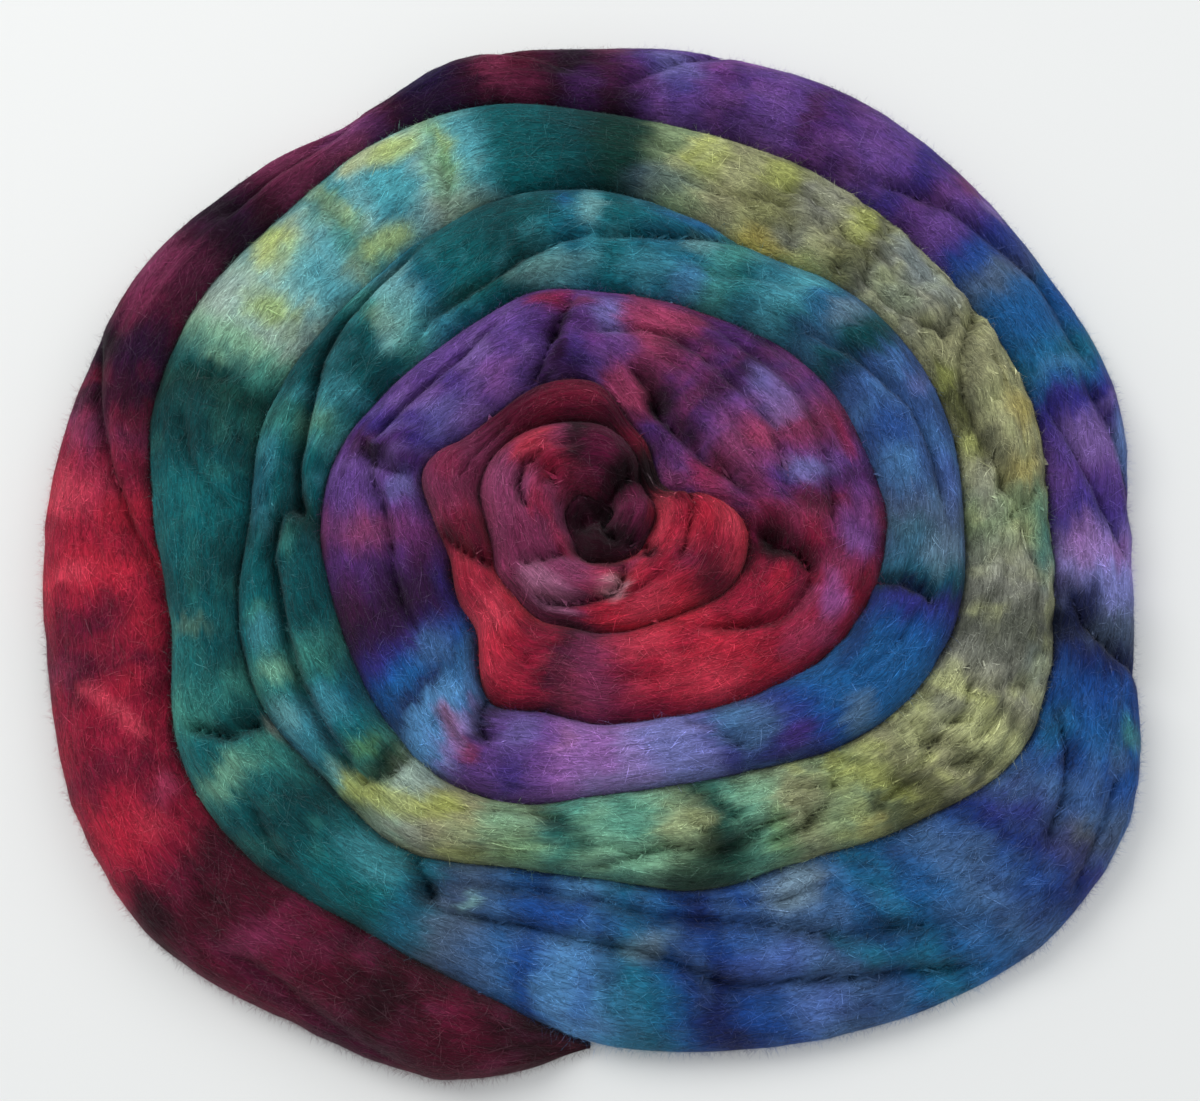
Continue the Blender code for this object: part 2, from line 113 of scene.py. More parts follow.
# Folds in the upper side, each a valley between two round-shouldered lobes, along a path of
# (bearing, radius) points. lap is how far the lobe on the path's right stands over the one on
# its left, in the sense of someone walking the path; a negative lap is the other way.
#   press  lap  shoulder  path
FOLDS = (
    (8, -2.5, 11, ((291, 234), (286, 224), (282, 218), (275, 207), (268, 196), (260, 183))),
    (4, 1.5, 9, ((198, 229), (203, 227.5), (208, 225), (213, 223), (217, 224), (220, 230))),
    (3, 1, 8, ((232, 216), (238, 208), (244, 200), (247, 192))),
    (3, 1, 8, ((222, 218), (229, 214), (235, 204))),
    (7, 2.5, 9, ((309, 216), (316, 216), (322, 216.5), (327, 219.5), (330, 223))),
    (4, 1.5, 9, ((346, 232), (352, 222), (357, 212))),
    (4, -1.5, 9, ((362, 205), (366, 214), (371, 226), (375, 236))),
    (7, -1.5, 10, ((396, 199), (402, 207), (408, 213), (414, 216), (421, 222), (434, 223))),
    (7, 2.5, 9, ((434, 199), (440, 202), (445, 205), (450, 210), (453, 215), (457, 224))),
    (6, -1.5, 8, ((433, 217), (438, 221), (444, 224), (452, 228))),
    (11, -2, 10, ((468, 233), (467, 226), (466, 217), (464, 207), (460, 198))),
    (7, 1.5, 9, ((472, 199), (475, 204), (478, 211.5), (484, 218), (489, 221.5))),
    (5, 1, 8, ((478, 232), (484, 236), (490, 240))),
    (9, 2, 10, ((498, 238), (501, 233), (504, 225), (507, 217.5), (513, 208.5), (518, 201),
                (525, 195), (532, 180), (540, 173), (550, 169), (557, 170.5), (564, 174))),
    (9, -1.5, 10, ((497, 224), (500, 218), (505, 204), (511, 196), (517, 182), (525, 171),
                   (532, 165.5), (540, 157.5), (547, 155.5), (555, 158), (562, 163))),
    (5, 1, 8, ((509, 176), (516, 172), (524, 164), (531, 158))),
    (10, -4, 8, ((562, 172), (564, 167), (568, 158))),
    (4, 1, 8, ((573, 190), (583, 187), (592, 180))),
    (12, 3, 7, ((601, 188), (599.5, 182), (597, 174), (598, 163))),
    (4, 1, 9, ((630, 152), (633, 163), (638, 176), (645, 186))),
    (4, 1, 9, ((651, 196), (650, 180), (653, 164))),
    (5, -1.5, 9, ((693, 157), (696, 171), (696, 180), (694, 192))),
    (3, 1, 8, ((678, 200), (680, 188), (679, 174))),
    (5, 1, 6, ((748, 174), (753, 177), (757, 174), (761, 170), (768, 172), (775, 173))),
    (5, 1, 6, ((732, 163), (740, 160), (745, 165), (752, 168))),
    (6, 1, 6, ((765, 160), (772, 160), (778, 165), (782, 172), (782, 178))),
    (4, 1, 8, ((727, 178), (733, 172), (740, 164), (748, 158))),
    (9, -3, 9, ((780, 194), (782, 186), (784, 176), (787, 171), (792, 167), (798, 168),
                (803, 171), (810, 173))),
    (4, 1, 8, ((806, 177), (813, 175), (818, 182), (826, 184))),
    (4, 1, 8, ((834, 193), (832, 182), (835, 174))),
    (5, 1, 6, ((832, 160), (836, 167), (840, 168), (846, 164), (852, 165), (858, 163), (862, 162))),
    (3, 1, 5, ((838, 188), (843, 189), (848, 186))),
    (3, 1, 5, ((836, 180), (843, 181), (848, 178))),
    (4, 1, 6, ((845, 152), (846, 158), (848, 163))),
    (5, 1, 6, ((857, 140), (862, 148), (868, 152), (875, 150))),
    (7, 2, 9, ((868, 146), (873, 143), (881, 145.5), (889, 139), (895, 141), (903, 146))),
    (5, -1, 8, ((905, 130), (913, 127), (921, 132))),
    (10, 4, 7, ((940, 148), (938, 141), (936.5, 134), (937, 125))),
    (12, 2, 9, ((939, 149), (944, 144), (950, 142.5), (959, 141), (968, 138), (982, 137),
                (988, 134), (992, 130))),
    (15, 2, 9, ((988, 119), (990, 125), (993, 128), (1000, 130), (1006, 131.5), (1013, 134.5),
                (1020, 140), (1028, 144), (1037, 147), (1047, 150))),
    (8, 1.5, 8, ((1034, 112), (1040, 117), (1048, 117), (1056, 119.5), (1064, 125), (1072, 129.5),
                 (1080, 132))),
    (3, 1, 8, ((1032, 118), (1038, 127), (1044, 138))),
    (7, -2, 8, ((1078, 131), (1086, 132.5), (1093, 134), (1098, 136.5), (1102, 140), (1107, 145))),
    (3, 1, 8, ((1104, 118), (1112, 126), (1118, 131), (1123, 142))),
    (4, 1, 8, ((1129, 122), (1131, 134), (1134, 148))),
    (6, 1.5, 8, ((1124, 120), (1131, 125), (1137, 130), (1144, 136), (1151, 141), (1160, 143),
                 (1172, 144.5))),
    (13, -3.5, 9, ((1186, 143), (1184.5, 136), (1183.5, 127), (1183, 118))),
    (3, 1, 8, ((1187, 138), (1196, 132), (1206, 124))),
    (5, -2, 8, ((1229, 119), (1231, 110), (1234, 101), (1240, 92))),
    (11, -3, 8, ((1284, 108), (1287, 104.5), (1290, 99), (1291, 88))),
    (5, 2, 7, ((1288, 113), (1292, 109), (1297, 106))),
    (8, 1, 8, ((1314, 90.5), (1323, 90), (1332, 89.5), (1342, 87.7), (1350, 90), (1356, 94),
               (1361, 101))),
    (8, -4, 7, ((1367, 106), (1364, 100), (1363, 91), (1364.5, 81))),
    (8, 1.5, 7, ((1366, 101), (1372, 99.5), (1380, 97), (1389, 94), (1398, 92), (1407, 94),
                 (1414, 97))),
    (9, -4, 6, ((1434, 103), (1432, 97), (1429, 90), (1426, 82), (1422, 75), (1416, 69),
                (1411, 66))),
    (7, 1.5, 7, ((1434, 81), (1443, 84), (1453, 87), (1462, 87), (1471, 84.5), (1478, 82.5),
                 (1490, 81.5), (1500, 83), (1512, 81.5), (1528, 80))),
    (6, 1, 7, ((1462, 106), (1469, 103), (1480, 99.5), (1489, 100.5), (1500, 103), (1515, 100.5),
               (1526, 99), (1539, 96))),
    (3, 0.5, 6, ((1446, 95), (1456, 94), (1470, 93), (1482, 91), (1498, 92), (1515, 91))),
    (3, 0.5, 6, ((1470, 112), (1486, 111), (1502, 112), (1520, 111), (1535, 109))),
    (4, 0.5, 6, ((1458, 75), (1470, 73), (1484, 71), (1500, 70), (1516, 70), (1526, 67))),
    (14, -3, 7, ((1450, 70), (1457, 66), (1462, 63), (1467, 57), (1473, 53), (1481, 51.5),
                 (1492, 51.5), (1502, 52.5), (1514, 60), (1524, 66))),
    (3, 1, 5, ((1438, 67), (1448, 58), (1458, 50), (1468, 44))),
    (15, 3, 9, ((1546, 94), (1541, 87), (1537, 77), (1534, 66))),
    (9, -2, 8, ((1545, 92), (1550, 92.5), (1556, 91), (1563, 86), (1568, 79), (1574, 71),
                (1581, 63))),
    (3, 0.5, 6, ((1590, 78), (1604, 74), (1617, 70))),
    (3, 0.5, 6, ((1640, 72), (1655, 69), (1672, 62))),
    (10, 2, 7, ((1684, 50), (1688, 53), (1692, 57), (1698, 62), (1704, 67))),
    (4, 0.5, 6, ((1722, 62), (1740, 59), (1760, 57))),
    (6, 1, 5, ((1874, 36.5), (1882, 38), (1890, 39), (1900, 38), (1912, 38.5), (1924, 39))),
    (3, 0.5, 5, ((1886, 50), (1896, 51), (1910, 49))),
    (8, -1, 5, ((1922, 22), (1926, 27), (1930, 28), (1934, 25))),
    (4, 0.5, 5, ((1935, 37), (1950, 36.5), (1965, 38), (1976, 36))),
    (11, 3, 6, ((1955, 23), (1959, 27), (1965, 31.5), (1970, 34.5), (1980, 36.5), (1994, 39.5),
                (2006, 43), (2019, 46))),
    (9, -2.5, 6, ((2018, 22), (2021, 24), (2026, 29), (2032, 36), (2037, 42))),
    (8, -1, 5, ((2072, 28), (2076, 32.5), (2088, 36.3), (2104, 39), (2111.5, 35.5), (2111, 27),
                (2100, 21))),
    (14, 3, 7, ((2206, 29), (2198, 24), (2190, 19), (2184, 12), (2182, 7))),
    (4, 0.5, 5, ((2110, 43), (2125, 37), (2140, 30))),
    (9, 2, 5, ((2290, 20), (2300, 12), (2318, 8))),
)
FOLD_FADE = 0.18           # share of a fold's length over which each end fades out
FOLD_DEPTH = 1.25          # the fine body's folds are this much deeper than the table's
FOLD_END = 0.25            # how deep a fold still is at its very ends
LAP_REACH = 13.0           # how far back from a fold its raised lap reaches
LENGTHWISE = 1.2           # a fold that runs this much more along than across turns the fibres
PULL_REACH = 14.0          # how far from a fold it still turns the fibres
LEAST_PULL = 0.35          # higher leaves the fibres straighter between folds
MOST_DRIFT = 0.9           # steepest slope of the fibres across the strand

# Places where the strand swells over what lies under it, and small deep holes where it parts.
#   bearing  radius  reach  rise
SWELLS = (
    (178, 192, 45.0, 6.0),
    (262, 208, 40.0, 2.0),
    (486, 228, 35.0, 3.0),
    (431, 184, 20.0, 3.0),
    (208, 143, 24.0, 4.0),
    (246, 130, 22.0, 2.0),
    (216, 88, 18.0, 5.0),
    (262, 92, 30.0, 3.0),
    (332, 84, 24.0, 6.0),
    (52, 72, 34.0, 8.0),
    (98, 45, 22.0, 5.0),
    (285, 33, 16.0, 2.0),
    (90, 6, 20.0, -8.0),
    (80, 12.5, 8.0, 7.0),
    (184, 14, 7.0, 3.0),
    (330, 3, 4.5, -9.0),
    (265, 9, 5.5, -12.0),
    (208, 16, 4.5, -9.0),
    (292, 28.3, 4.5, 4.0),
    (346, 84, 4.5, -6.0),
    (99, 195, 5.0, -12.0),
    (104, 197, 6.5, -12.0),
    (272, 128, 4.5, -9.0),
    (203.5, 168, 5.0, -10.0),
    (218.5, 133, 4.0, -5.0),
    (237, 164, 4.5, -8.0),
    (27, 57, 6.0, -10.0),
    (99, 74, 6.0, -9.0),
    (209, 195, 6.0, -8.0),
)


# Crumpled stretches, where the wool was pushed together along its length.
#   from  to  rise of the lumps
CRUMPLED = (
    (455, 520, 3.2),
    (740, 905, 7.2),
    (890, 1010, 2.5),
    (180, 2340, 0.9),
    (1120, 1215, 2.0),
)
CRUMPLE_ENDS = 15.0        # degrees over which a crumpled stretch begins and ends

LARGE_LUMPS = (13.0, 16.0, 11.0, 3)    # length, skew and width of the lumps, layer of noise
SMALL_LUMPS = (6.5, 14.0, 5.5, 4)
SMALL_LUMP_RISE = 0.5      # beside the large ones
LUMP_POWER = 0.6           # lower makes the lumps fuller and their creases sharper
LUMP_LEVEL = 0.45          # how far the creases lie below the strand's usual top

# Bundles of fibres that lie together and show as long low ridges: rise, length, width and the
# layer of noise.
BUNDLES = ((1.2, 75.0, 6.5, 0), (0.7, 28.0, 2.6, 1), (0.35, 14.0, 1.2, 2))


def turn_edge(bearing):
    """Radius of the strand's outer edge at each bearing, on a smooth curve through the table."""
    place = (np.asarray(bearing, dtype=float) - FIRST_BEARING) / ROW_STEP
    first = np.floor(place).astype(int)
    share = place - first
    last = len(EDGE_RADII) - 1
    before, start, end, after = [EDGE_RADII[np.clip(first + i, 0, last)] for i in (-1, 0, 1, 2)]
    square, cube = share ** 2, share ** 3
    return (
        start * (2 * cube - 3 * square + 1)
        + (end - before) / 2.0 * (cube - 2 * square + share)
        + end * (3 * square - 2 * cube)
        + (after - start) / 2.0 * (cube - square)
    )


def turn_inner_edge(bearing):
    return np.maximum(turn_edge(bearing + FULL_TURN), CORE_EDGE)


def plan(bearing, radius):
    angle = np.radians(bearing)
    return radius * np.sin(angle), radius * np.cos(angle)


def smooth(share):
    share = np.clip(share, 0.0, 1.0)
    return share * share * (3.0 - 2.0 * share)


NOISE_SIZE, NOISE_LAYERS, NOISE_SEED = 256, 8, 11
NOISE_TABLE = np.random.default_rng(NOISE_SEED).uniform(
    -1.0, 1.0, (NOISE_LAYERS, NOISE_SIZE, NOISE_SIZE))


def soft_noise(x, y, layer):
    """Smooth random values from -1 to 1 over a plane, with bumps one unit apart."""
    column, row = np.floor(x).astype(int), np.floor(y).astype(int)
    fx, fy = smooth(x - column), smooth(y - row)
    table = NOISE_TABLE[layer]
    a = table[row % NOISE_SIZE, column % NOISE_SIZE]
    b = table[row % NOISE_SIZE, (column + 1) % NOISE_SIZE]
    c = table[(row + 1) % NOISE_SIZE, column % NOISE_SIZE]
    d = table[(row + 1) % NOISE_SIZE, (column + 1) % NOISE_SIZE]
    return (a * (1 - fx) + b * fx) * (1 - fy) + (c * (1 - fx) + d * fx) * fy


def layered_noise(along, side, layers):
    """Soft noise stretched along the strand, added up layer by layer."""
    return sum(
        amount * soft_noise(along / length, side / width, layer)
        for amount, length, width, layer in layers
    )


def pillows(x, y, layer):
    """Round lumps with sharp creases between them, from about -0.45 to 0.55."""
    return np.abs(soft_noise(x, y, layer)) ** LUMP_POWER - LUMP_LEVEL


class Fold:
    """One fold, ready to be pressed into any set of points on the strand."""

    REACH = 26.0           # beyond this many millimetres a fold changes nothing

    def __init__(self, press, lap, shoulder, path):
        self.press, self.lap, self.shoulder = press * FOLD_DEPTH, float(lap), float(shoulder)
        bearings = np.array([p[0] for p in path], dtype=float)
        radii = np.array([p[1] for p in path], dtype=float)
        self.low, self.high = bearings.min(), bearings.max()
        self.x, self.y = plan(bearings, radii)
        run = np.radians(np.diff(bearings)) * (radii[1:] + radii[:-1]) / 2.0
        rise = np.diff(radii)
        self.lengthwise = np.abs(run).sum() > LENGTHWISE * np.abs(rise).sum()
        self.slopes = rise / np.where(np.abs(run) < 1e-6, 1e-6, run)

    def near(self, bearing, radius):
        """Whether each section is close enough for the fold to change it."""
        margin = np.degrees(self.REACH / np.maximum(radius, LEAST_RADIUS))
        return (bearing > self.low - margin) & (bearing < self.high + margin)

    def measure(self, x, y):
        """Distance to the fold, share of its length, side of it and its slope, at each point."""
        lengths = np.hypot(np.diff(self.x), np.diff(self.y))
        starts = np.concatenate(([0.0], np.cumsum(lengths)))[:-1]
        nearest = np.full(x.shape, 1e9)
        share, side, slope = np.zeros(x.shape), np.zeros(x.shape), np.zeros(x.shape)
        for i, length in enumerate(lengths):
            dx, dy = self.x[i + 1] - self.x[i], self.y[i + 1] - self.y[i]
            along = ((x - self.x[i]) * dx + (y - self.y[i]) * dy) / length ** 2
            along = np.clip(along, 0.0, 1.0)
            off_x, off_y = x - self.x[i] - along * dx, y - self.y[i] - along * dy
            distance = np.hypot(off_x, off_y)
            closer = distance < nearest
            nearest = np.where(closer, distance, nearest)
            share = np.where(closer, (starts[i] + along * length) / lengths.sum(), share)
            side = np.where(closer, np.sign(dy * off_x - dx * off_y), side)
            slope = np.where(closer, self.slopes[i], slope)
        return nearest, share, side, slope


FOLD_LINES = [Fold(*row) for row in FOLDS]


class StrandSurface:
    """The whole upper and under side as one grid: sections along the strand, points around."""

    def __init__(self):
        self.place_stations()
        self.place_top()
        self.press_folds()
        self.raise_top()
        self.finish_grid()

    def place_stations(self):
        """Sections an equal way apart along the strand, with their middle and half-width."""
        fine = np.arange(OUTER_END, INNER_END, FINE_STEP)
        middle = (turn_edge(fine) + turn_inner_edge(fine)) / 2.0
        x, y = plan(fine, middle)
        run = np.concatenate(([0.0], np.cumsum(np.hypot(np.diff(x), np.diff(y)))))
        count = int(run[-1] / STATION_GAP)
        self.along = np.linspace(0.0, run[-1], count)
        self.bearing = np.interp(self.along, run, fine)
        self.outer = turn_edge(self.bearing) + PRESSED_IN
        self.inner = turn_inner_edge(self.bearing) - PRESSED_IN
        self.half = (self.outer - self.inner) / 2.0
        self.middle = (self.outer + self.inner) / 2.0
        blunt = np.clip((OUTER_END + END_ROUNDING - self.bearing) / END_ROUNDING, 0.0, 1.0)
        self.half = self.half * np.sqrt(1.0 - END_NARROWS * blunt ** 2)
        self.length = run[-1]

    def height(self):
        """Height of the strand at each section, from its width."""
        width = 2.0 * self.half
        height = STRAND_HEIGHT * (STRAND_WIDTH / width) ** WIDE_FLATTENS
        height = np.minimum(np.minimum(height, HIGHEST), NECK_HEIGHT * width + THINNEST)
        outer = smooth((self.bearing - OUTER_END) / OUTER_TAPER)
        inner = smooth((INNER_END - self.bearing) / INNER_TAPER)
        return height * (END_HEIGHT + (1.0 - END_HEIGHT) * np.minimum(outer, inner))

    def place_top(self):
        """Where each point of the upper side lies in plan and along the strand."""
        lean = np.linspace(-math.pi / 2, math.pi / 2, TOP_COUNT)
        self.across = np.sin(lean)
        self.top_bearing = np.repeat(self.bearing[:, None], TOP_COUNT, axis=1)
        self.top_radius = self.middle[:, None] + self.across[None, :] * self.half[:, None]
        self.top_along = np.repeat(self.along[:, None], TOP_COUNT, axis=1)
        self.top_side = np.repeat(
            self.across[None, :] * STRAND_WIDTH / 2.0, len(self.along), axis=0)

    def press_folds(self):
        """How deep the folds press, how high their laps stand and how far they turn the fibres."""
        x, y = plan(self.top_bearing, self.top_radius)
        pressed = np.zeros(x.shape)
        lapped = np.zeros(x.shape)
        drift = np.zeros(x.shape)
        weight = np.full(x.shape, LEAST_PULL)
        own_slope = np.gradient(self.top_radius, self.along, axis=0)
        for fold in FOLD_LINES:
            rows = np.nonzero(fold.near(self.bearing, self.middle))[0]
            if len(rows) == 0:
                continue
            part = slice(rows[0], rows[-1] + 1)
            distance, share, side, slope = fold.measure(x[part], y[part])
            fade = smooth(np.minimum(share, 1.0 - share) / FOLD_FADE + FOLD_END)
            closeness = np.clip(1.0 - distance / fold.shoulder, 0.0, 1.0)
            valley = 1.0 - np.sqrt(1.0 - closeness ** 2)
            pressed[part] = np.maximum(pressed[part], fold.press * fade * valley)
            raised = np.exp(-(distance / LAP_REACH) ** 2) * fade
            lapped[part] += fold.lap * np.clip(side * distance, -1.0, 1.0) * raised
            if fold.lengthwise:
                pull = np.exp(-(distance / PULL_REACH) ** 2) * fade
                drift[part] += pull * (slope - own_slope[part])
                weight[part] += pull
        self.drift = np.clip(drift / weight, -MOST_DRIFT, MOST_DRIFT)
        self.pressed, self.lapped = pressed, lapped

    def raise_top(self):
        """Height of the upper side, with its swells, bundles, lumps, laps and folds."""
        x, y = plan(self.top_bearing, self.top_radius)
        crown = (1.0 - np.abs(self.across) ** SQUARENESS) ** (1.0 / SQUARENESS)
        rise = np.zeros(x.shape)
        for bearing, radius, reach, amount in SWELLS:
            spot_x, spot_y = plan(bearing, radius)
            rise += amount * np.exp(-((x - spot_x) ** 2 + (y - spot_y) ** 2) / reach ** 2)
        height = self.height()[:, None]
        waist = WAIST * height
        bundles = layered_noise(self.top_along, self.top_side, BUNDLES)
        length, skew, width, layer = LARGE_LUMPS
        crumple = pillows(
            self.top_along / length + self.top_side / skew, self.top_side / width, layer)
        length, skew, width, layer = SMALL_LUMPS
        crumple = crumple + SMALL_LUMP_RISE * pillows(
            self.top_along / length, self.top_side / width + self.top_along / skew, layer)
        lumps = np.zeros(x.shape)
        for start, end, amount in CRUMPLED:
            begun = smooth((self.top_bearing - start) / CRUMPLE_ENDS)
            lumps += amount * begun * smooth((end - self.top_bearing) / CRUMPLE_ENDS) * crumple
        pressed = self.pressed * crown ** 0.5
        # How deep each place lies in a fold, crease or pit, which sets the painted shade there.
        self.sunk = pressed + np.maximum(-rise - lumps, 0.0)
        full = height + rise + self.lapped + bundles + lumps
        top = waist + (full - waist) * crown - pressed
        low = THINNEST * crown + waist * (1.0 - crown)
        self.top_z = np.maximum(top, low)
        self.waist = waist[:, 0]

    def finish_grid(self):
        """Joins the upper side and the underside into rings of points."""
        across = np.concatenate((self.across, [u for u, _ in UNDER_SHAPE]))
        under_z = self.waist[:, None] * np.array([z for _, z in UNDER_SHAPE])[None, :]
        radius = self.middle[:, None] + across[None, :] * self.half[:, None]
        amount, length, layer = EDGE_WOBBLE
        edge_row = np.sign(across)[None, :] * 7.0 + 20.0    # so that each edge has its own
        wobble = amount * soft_noise(self.along[:, None] / length, edge_row, layer)
        radius = radius + wobble * np.abs(across)[None, :] ** WOBBLE_BAND
        z = np.concatenate((self.top_z, under_z), axis=1)
        x, y = plan(self.bearing[:, None], radius)
        self.centre = np.array([(x.min() + x.max()) / 2.0, (y.min() + y.max()) / 2.0])
        self.points = np.stack((x - self.centre[0], y - self.centre[1], z), axis=2)
        under = np.arange(1, len(UNDER_SHAPE) + 1) * STRAND_WIDTH / len(UNDER_SHAPE)
        self.girth = np.concatenate((
            self.across * STRAND_WIDTH / 2.0, STRAND_WIDTH / 2.0 + under))
        self.mark_flow()
        self.mark_cover(across)

    def mark_flow(self):
        """Which way the fibres run at each point, turned aside where folds lead them."""
        forward = unit(np.gradient(self.points, axis=0))
        outward_x, outward_y = plan(self.bearing, 1.0)
        outward = np.stack((outward_x, outward_y, np.zeros_like(outward_x)), axis=-1)
        drift = np.zeros(self.points.shape[:2])
        drift[:, :TOP_COUNT] = self.drift
        self.flow = unit(forward + drift[..., None] * outward[:, None, :])

    def mark_cover(self, across):
        """How thickly loose fibres lie: cover over the upper side, rim along the inner edges
        and outline along the roving's own outline."""
        on_top = np.arange(len(across)) < TOP_COUNT
        cover = np.where(on_top, 1.0, 0.0)
        rim = np.where(on_top, np.abs(across) ** FUZZ_BAND, 0.0)
        from_across, thickly = UNDER_FUZZ
        rim = rim + np.where(~on_top & (across > from_across), thickly, 0.0)
        self.cover = np.repeat(cover[None, :], len(self.along), axis=0)
        self.rim = np.repeat(rim[None, :], len(self.along), axis=0)
        outermost = (self.bearing < FIRST_BEARING + FULL_TURN)[:, None] & (across > 0)[None, :]
        self.outline = np.where(outermost, self.rim, 0.0)
        self.rim = np.where(outermost, 0.0, self.rim)


def unit(vectors):
    return vectors / np.maximum(np.linalg.norm(vectors, axis=-1, keepdims=True), 1e-9)


# ---------------------------------------------------------------- the dyes, and painted shade in the folds

def linear(hex_colour):
    """An sRGB hex colour as linear red, green and blue."""
    channels = np.array([int(hex_colour[i:i + 2], 16) / 255.0 for i in (1, 3, 5)])
    return np.where(channels <= 0.04045, channels / 12.92, ((channels + 0.055) / 1.055) ** 2.4)


DYES = {name: linear(value) for name, value in {
    "soot": "#180810", "burgundy": "#3F0A1C", "oxblood": "#641230", "crimson": "#981A38",
    "cherry": "#C4273F", "coral": "#DC4A60", "rose": "#B0446A", "raspberry": "#843258",
    "mauve": "#8E4068", "pale_mauve": "#B8789A", "shell": "#E4A6B2", "plum": "#45142F",
    "aubergine": "#32153C", "magenta": "#7A3480", "orchid": "#A668B8", "purple": "#562E72",
    "violet": "#6C4894", "lilac": "#A187CA", "periwinkle": "#858ACE", "indigo": "#352E84",
    "midnight": "#181F52", "cobalt": "#1C4C98", "azure": "#1F619E", "sky": "#5A94C8",
    "steel": "#4A6C98", "slate": "#56687E", "sea": "#1E6E8A", "teal": "#0C666C",
    "deep_teal": "#084448", "pine": "#0C3A32", "jade": "#4A9888", "aqua": "#5CB0BE",
    "pale_aqua": "#94CAC6", "mint": "#90C4A0", "sage": "#90A67C", "fern": "#62965C",
    "lime": "#BCC46C", "pale_lime": "#C6CB92", "olive": "#7E8050", "moss": "#4E5228",
    "khaki": "#A6A67E", "stone": "#9A9C90", "bone": "#ABC3B6", "ochre": "#C8B862",
    "pool": "#45A6B4", "cornflower": "#5A74C0", "denim": "#3E629C", "mist": "#8CA6B2",
    "smoke": "#5A5E52", "wine": "#5E0C36", "acid": "#C8DC7E",
}.items()}

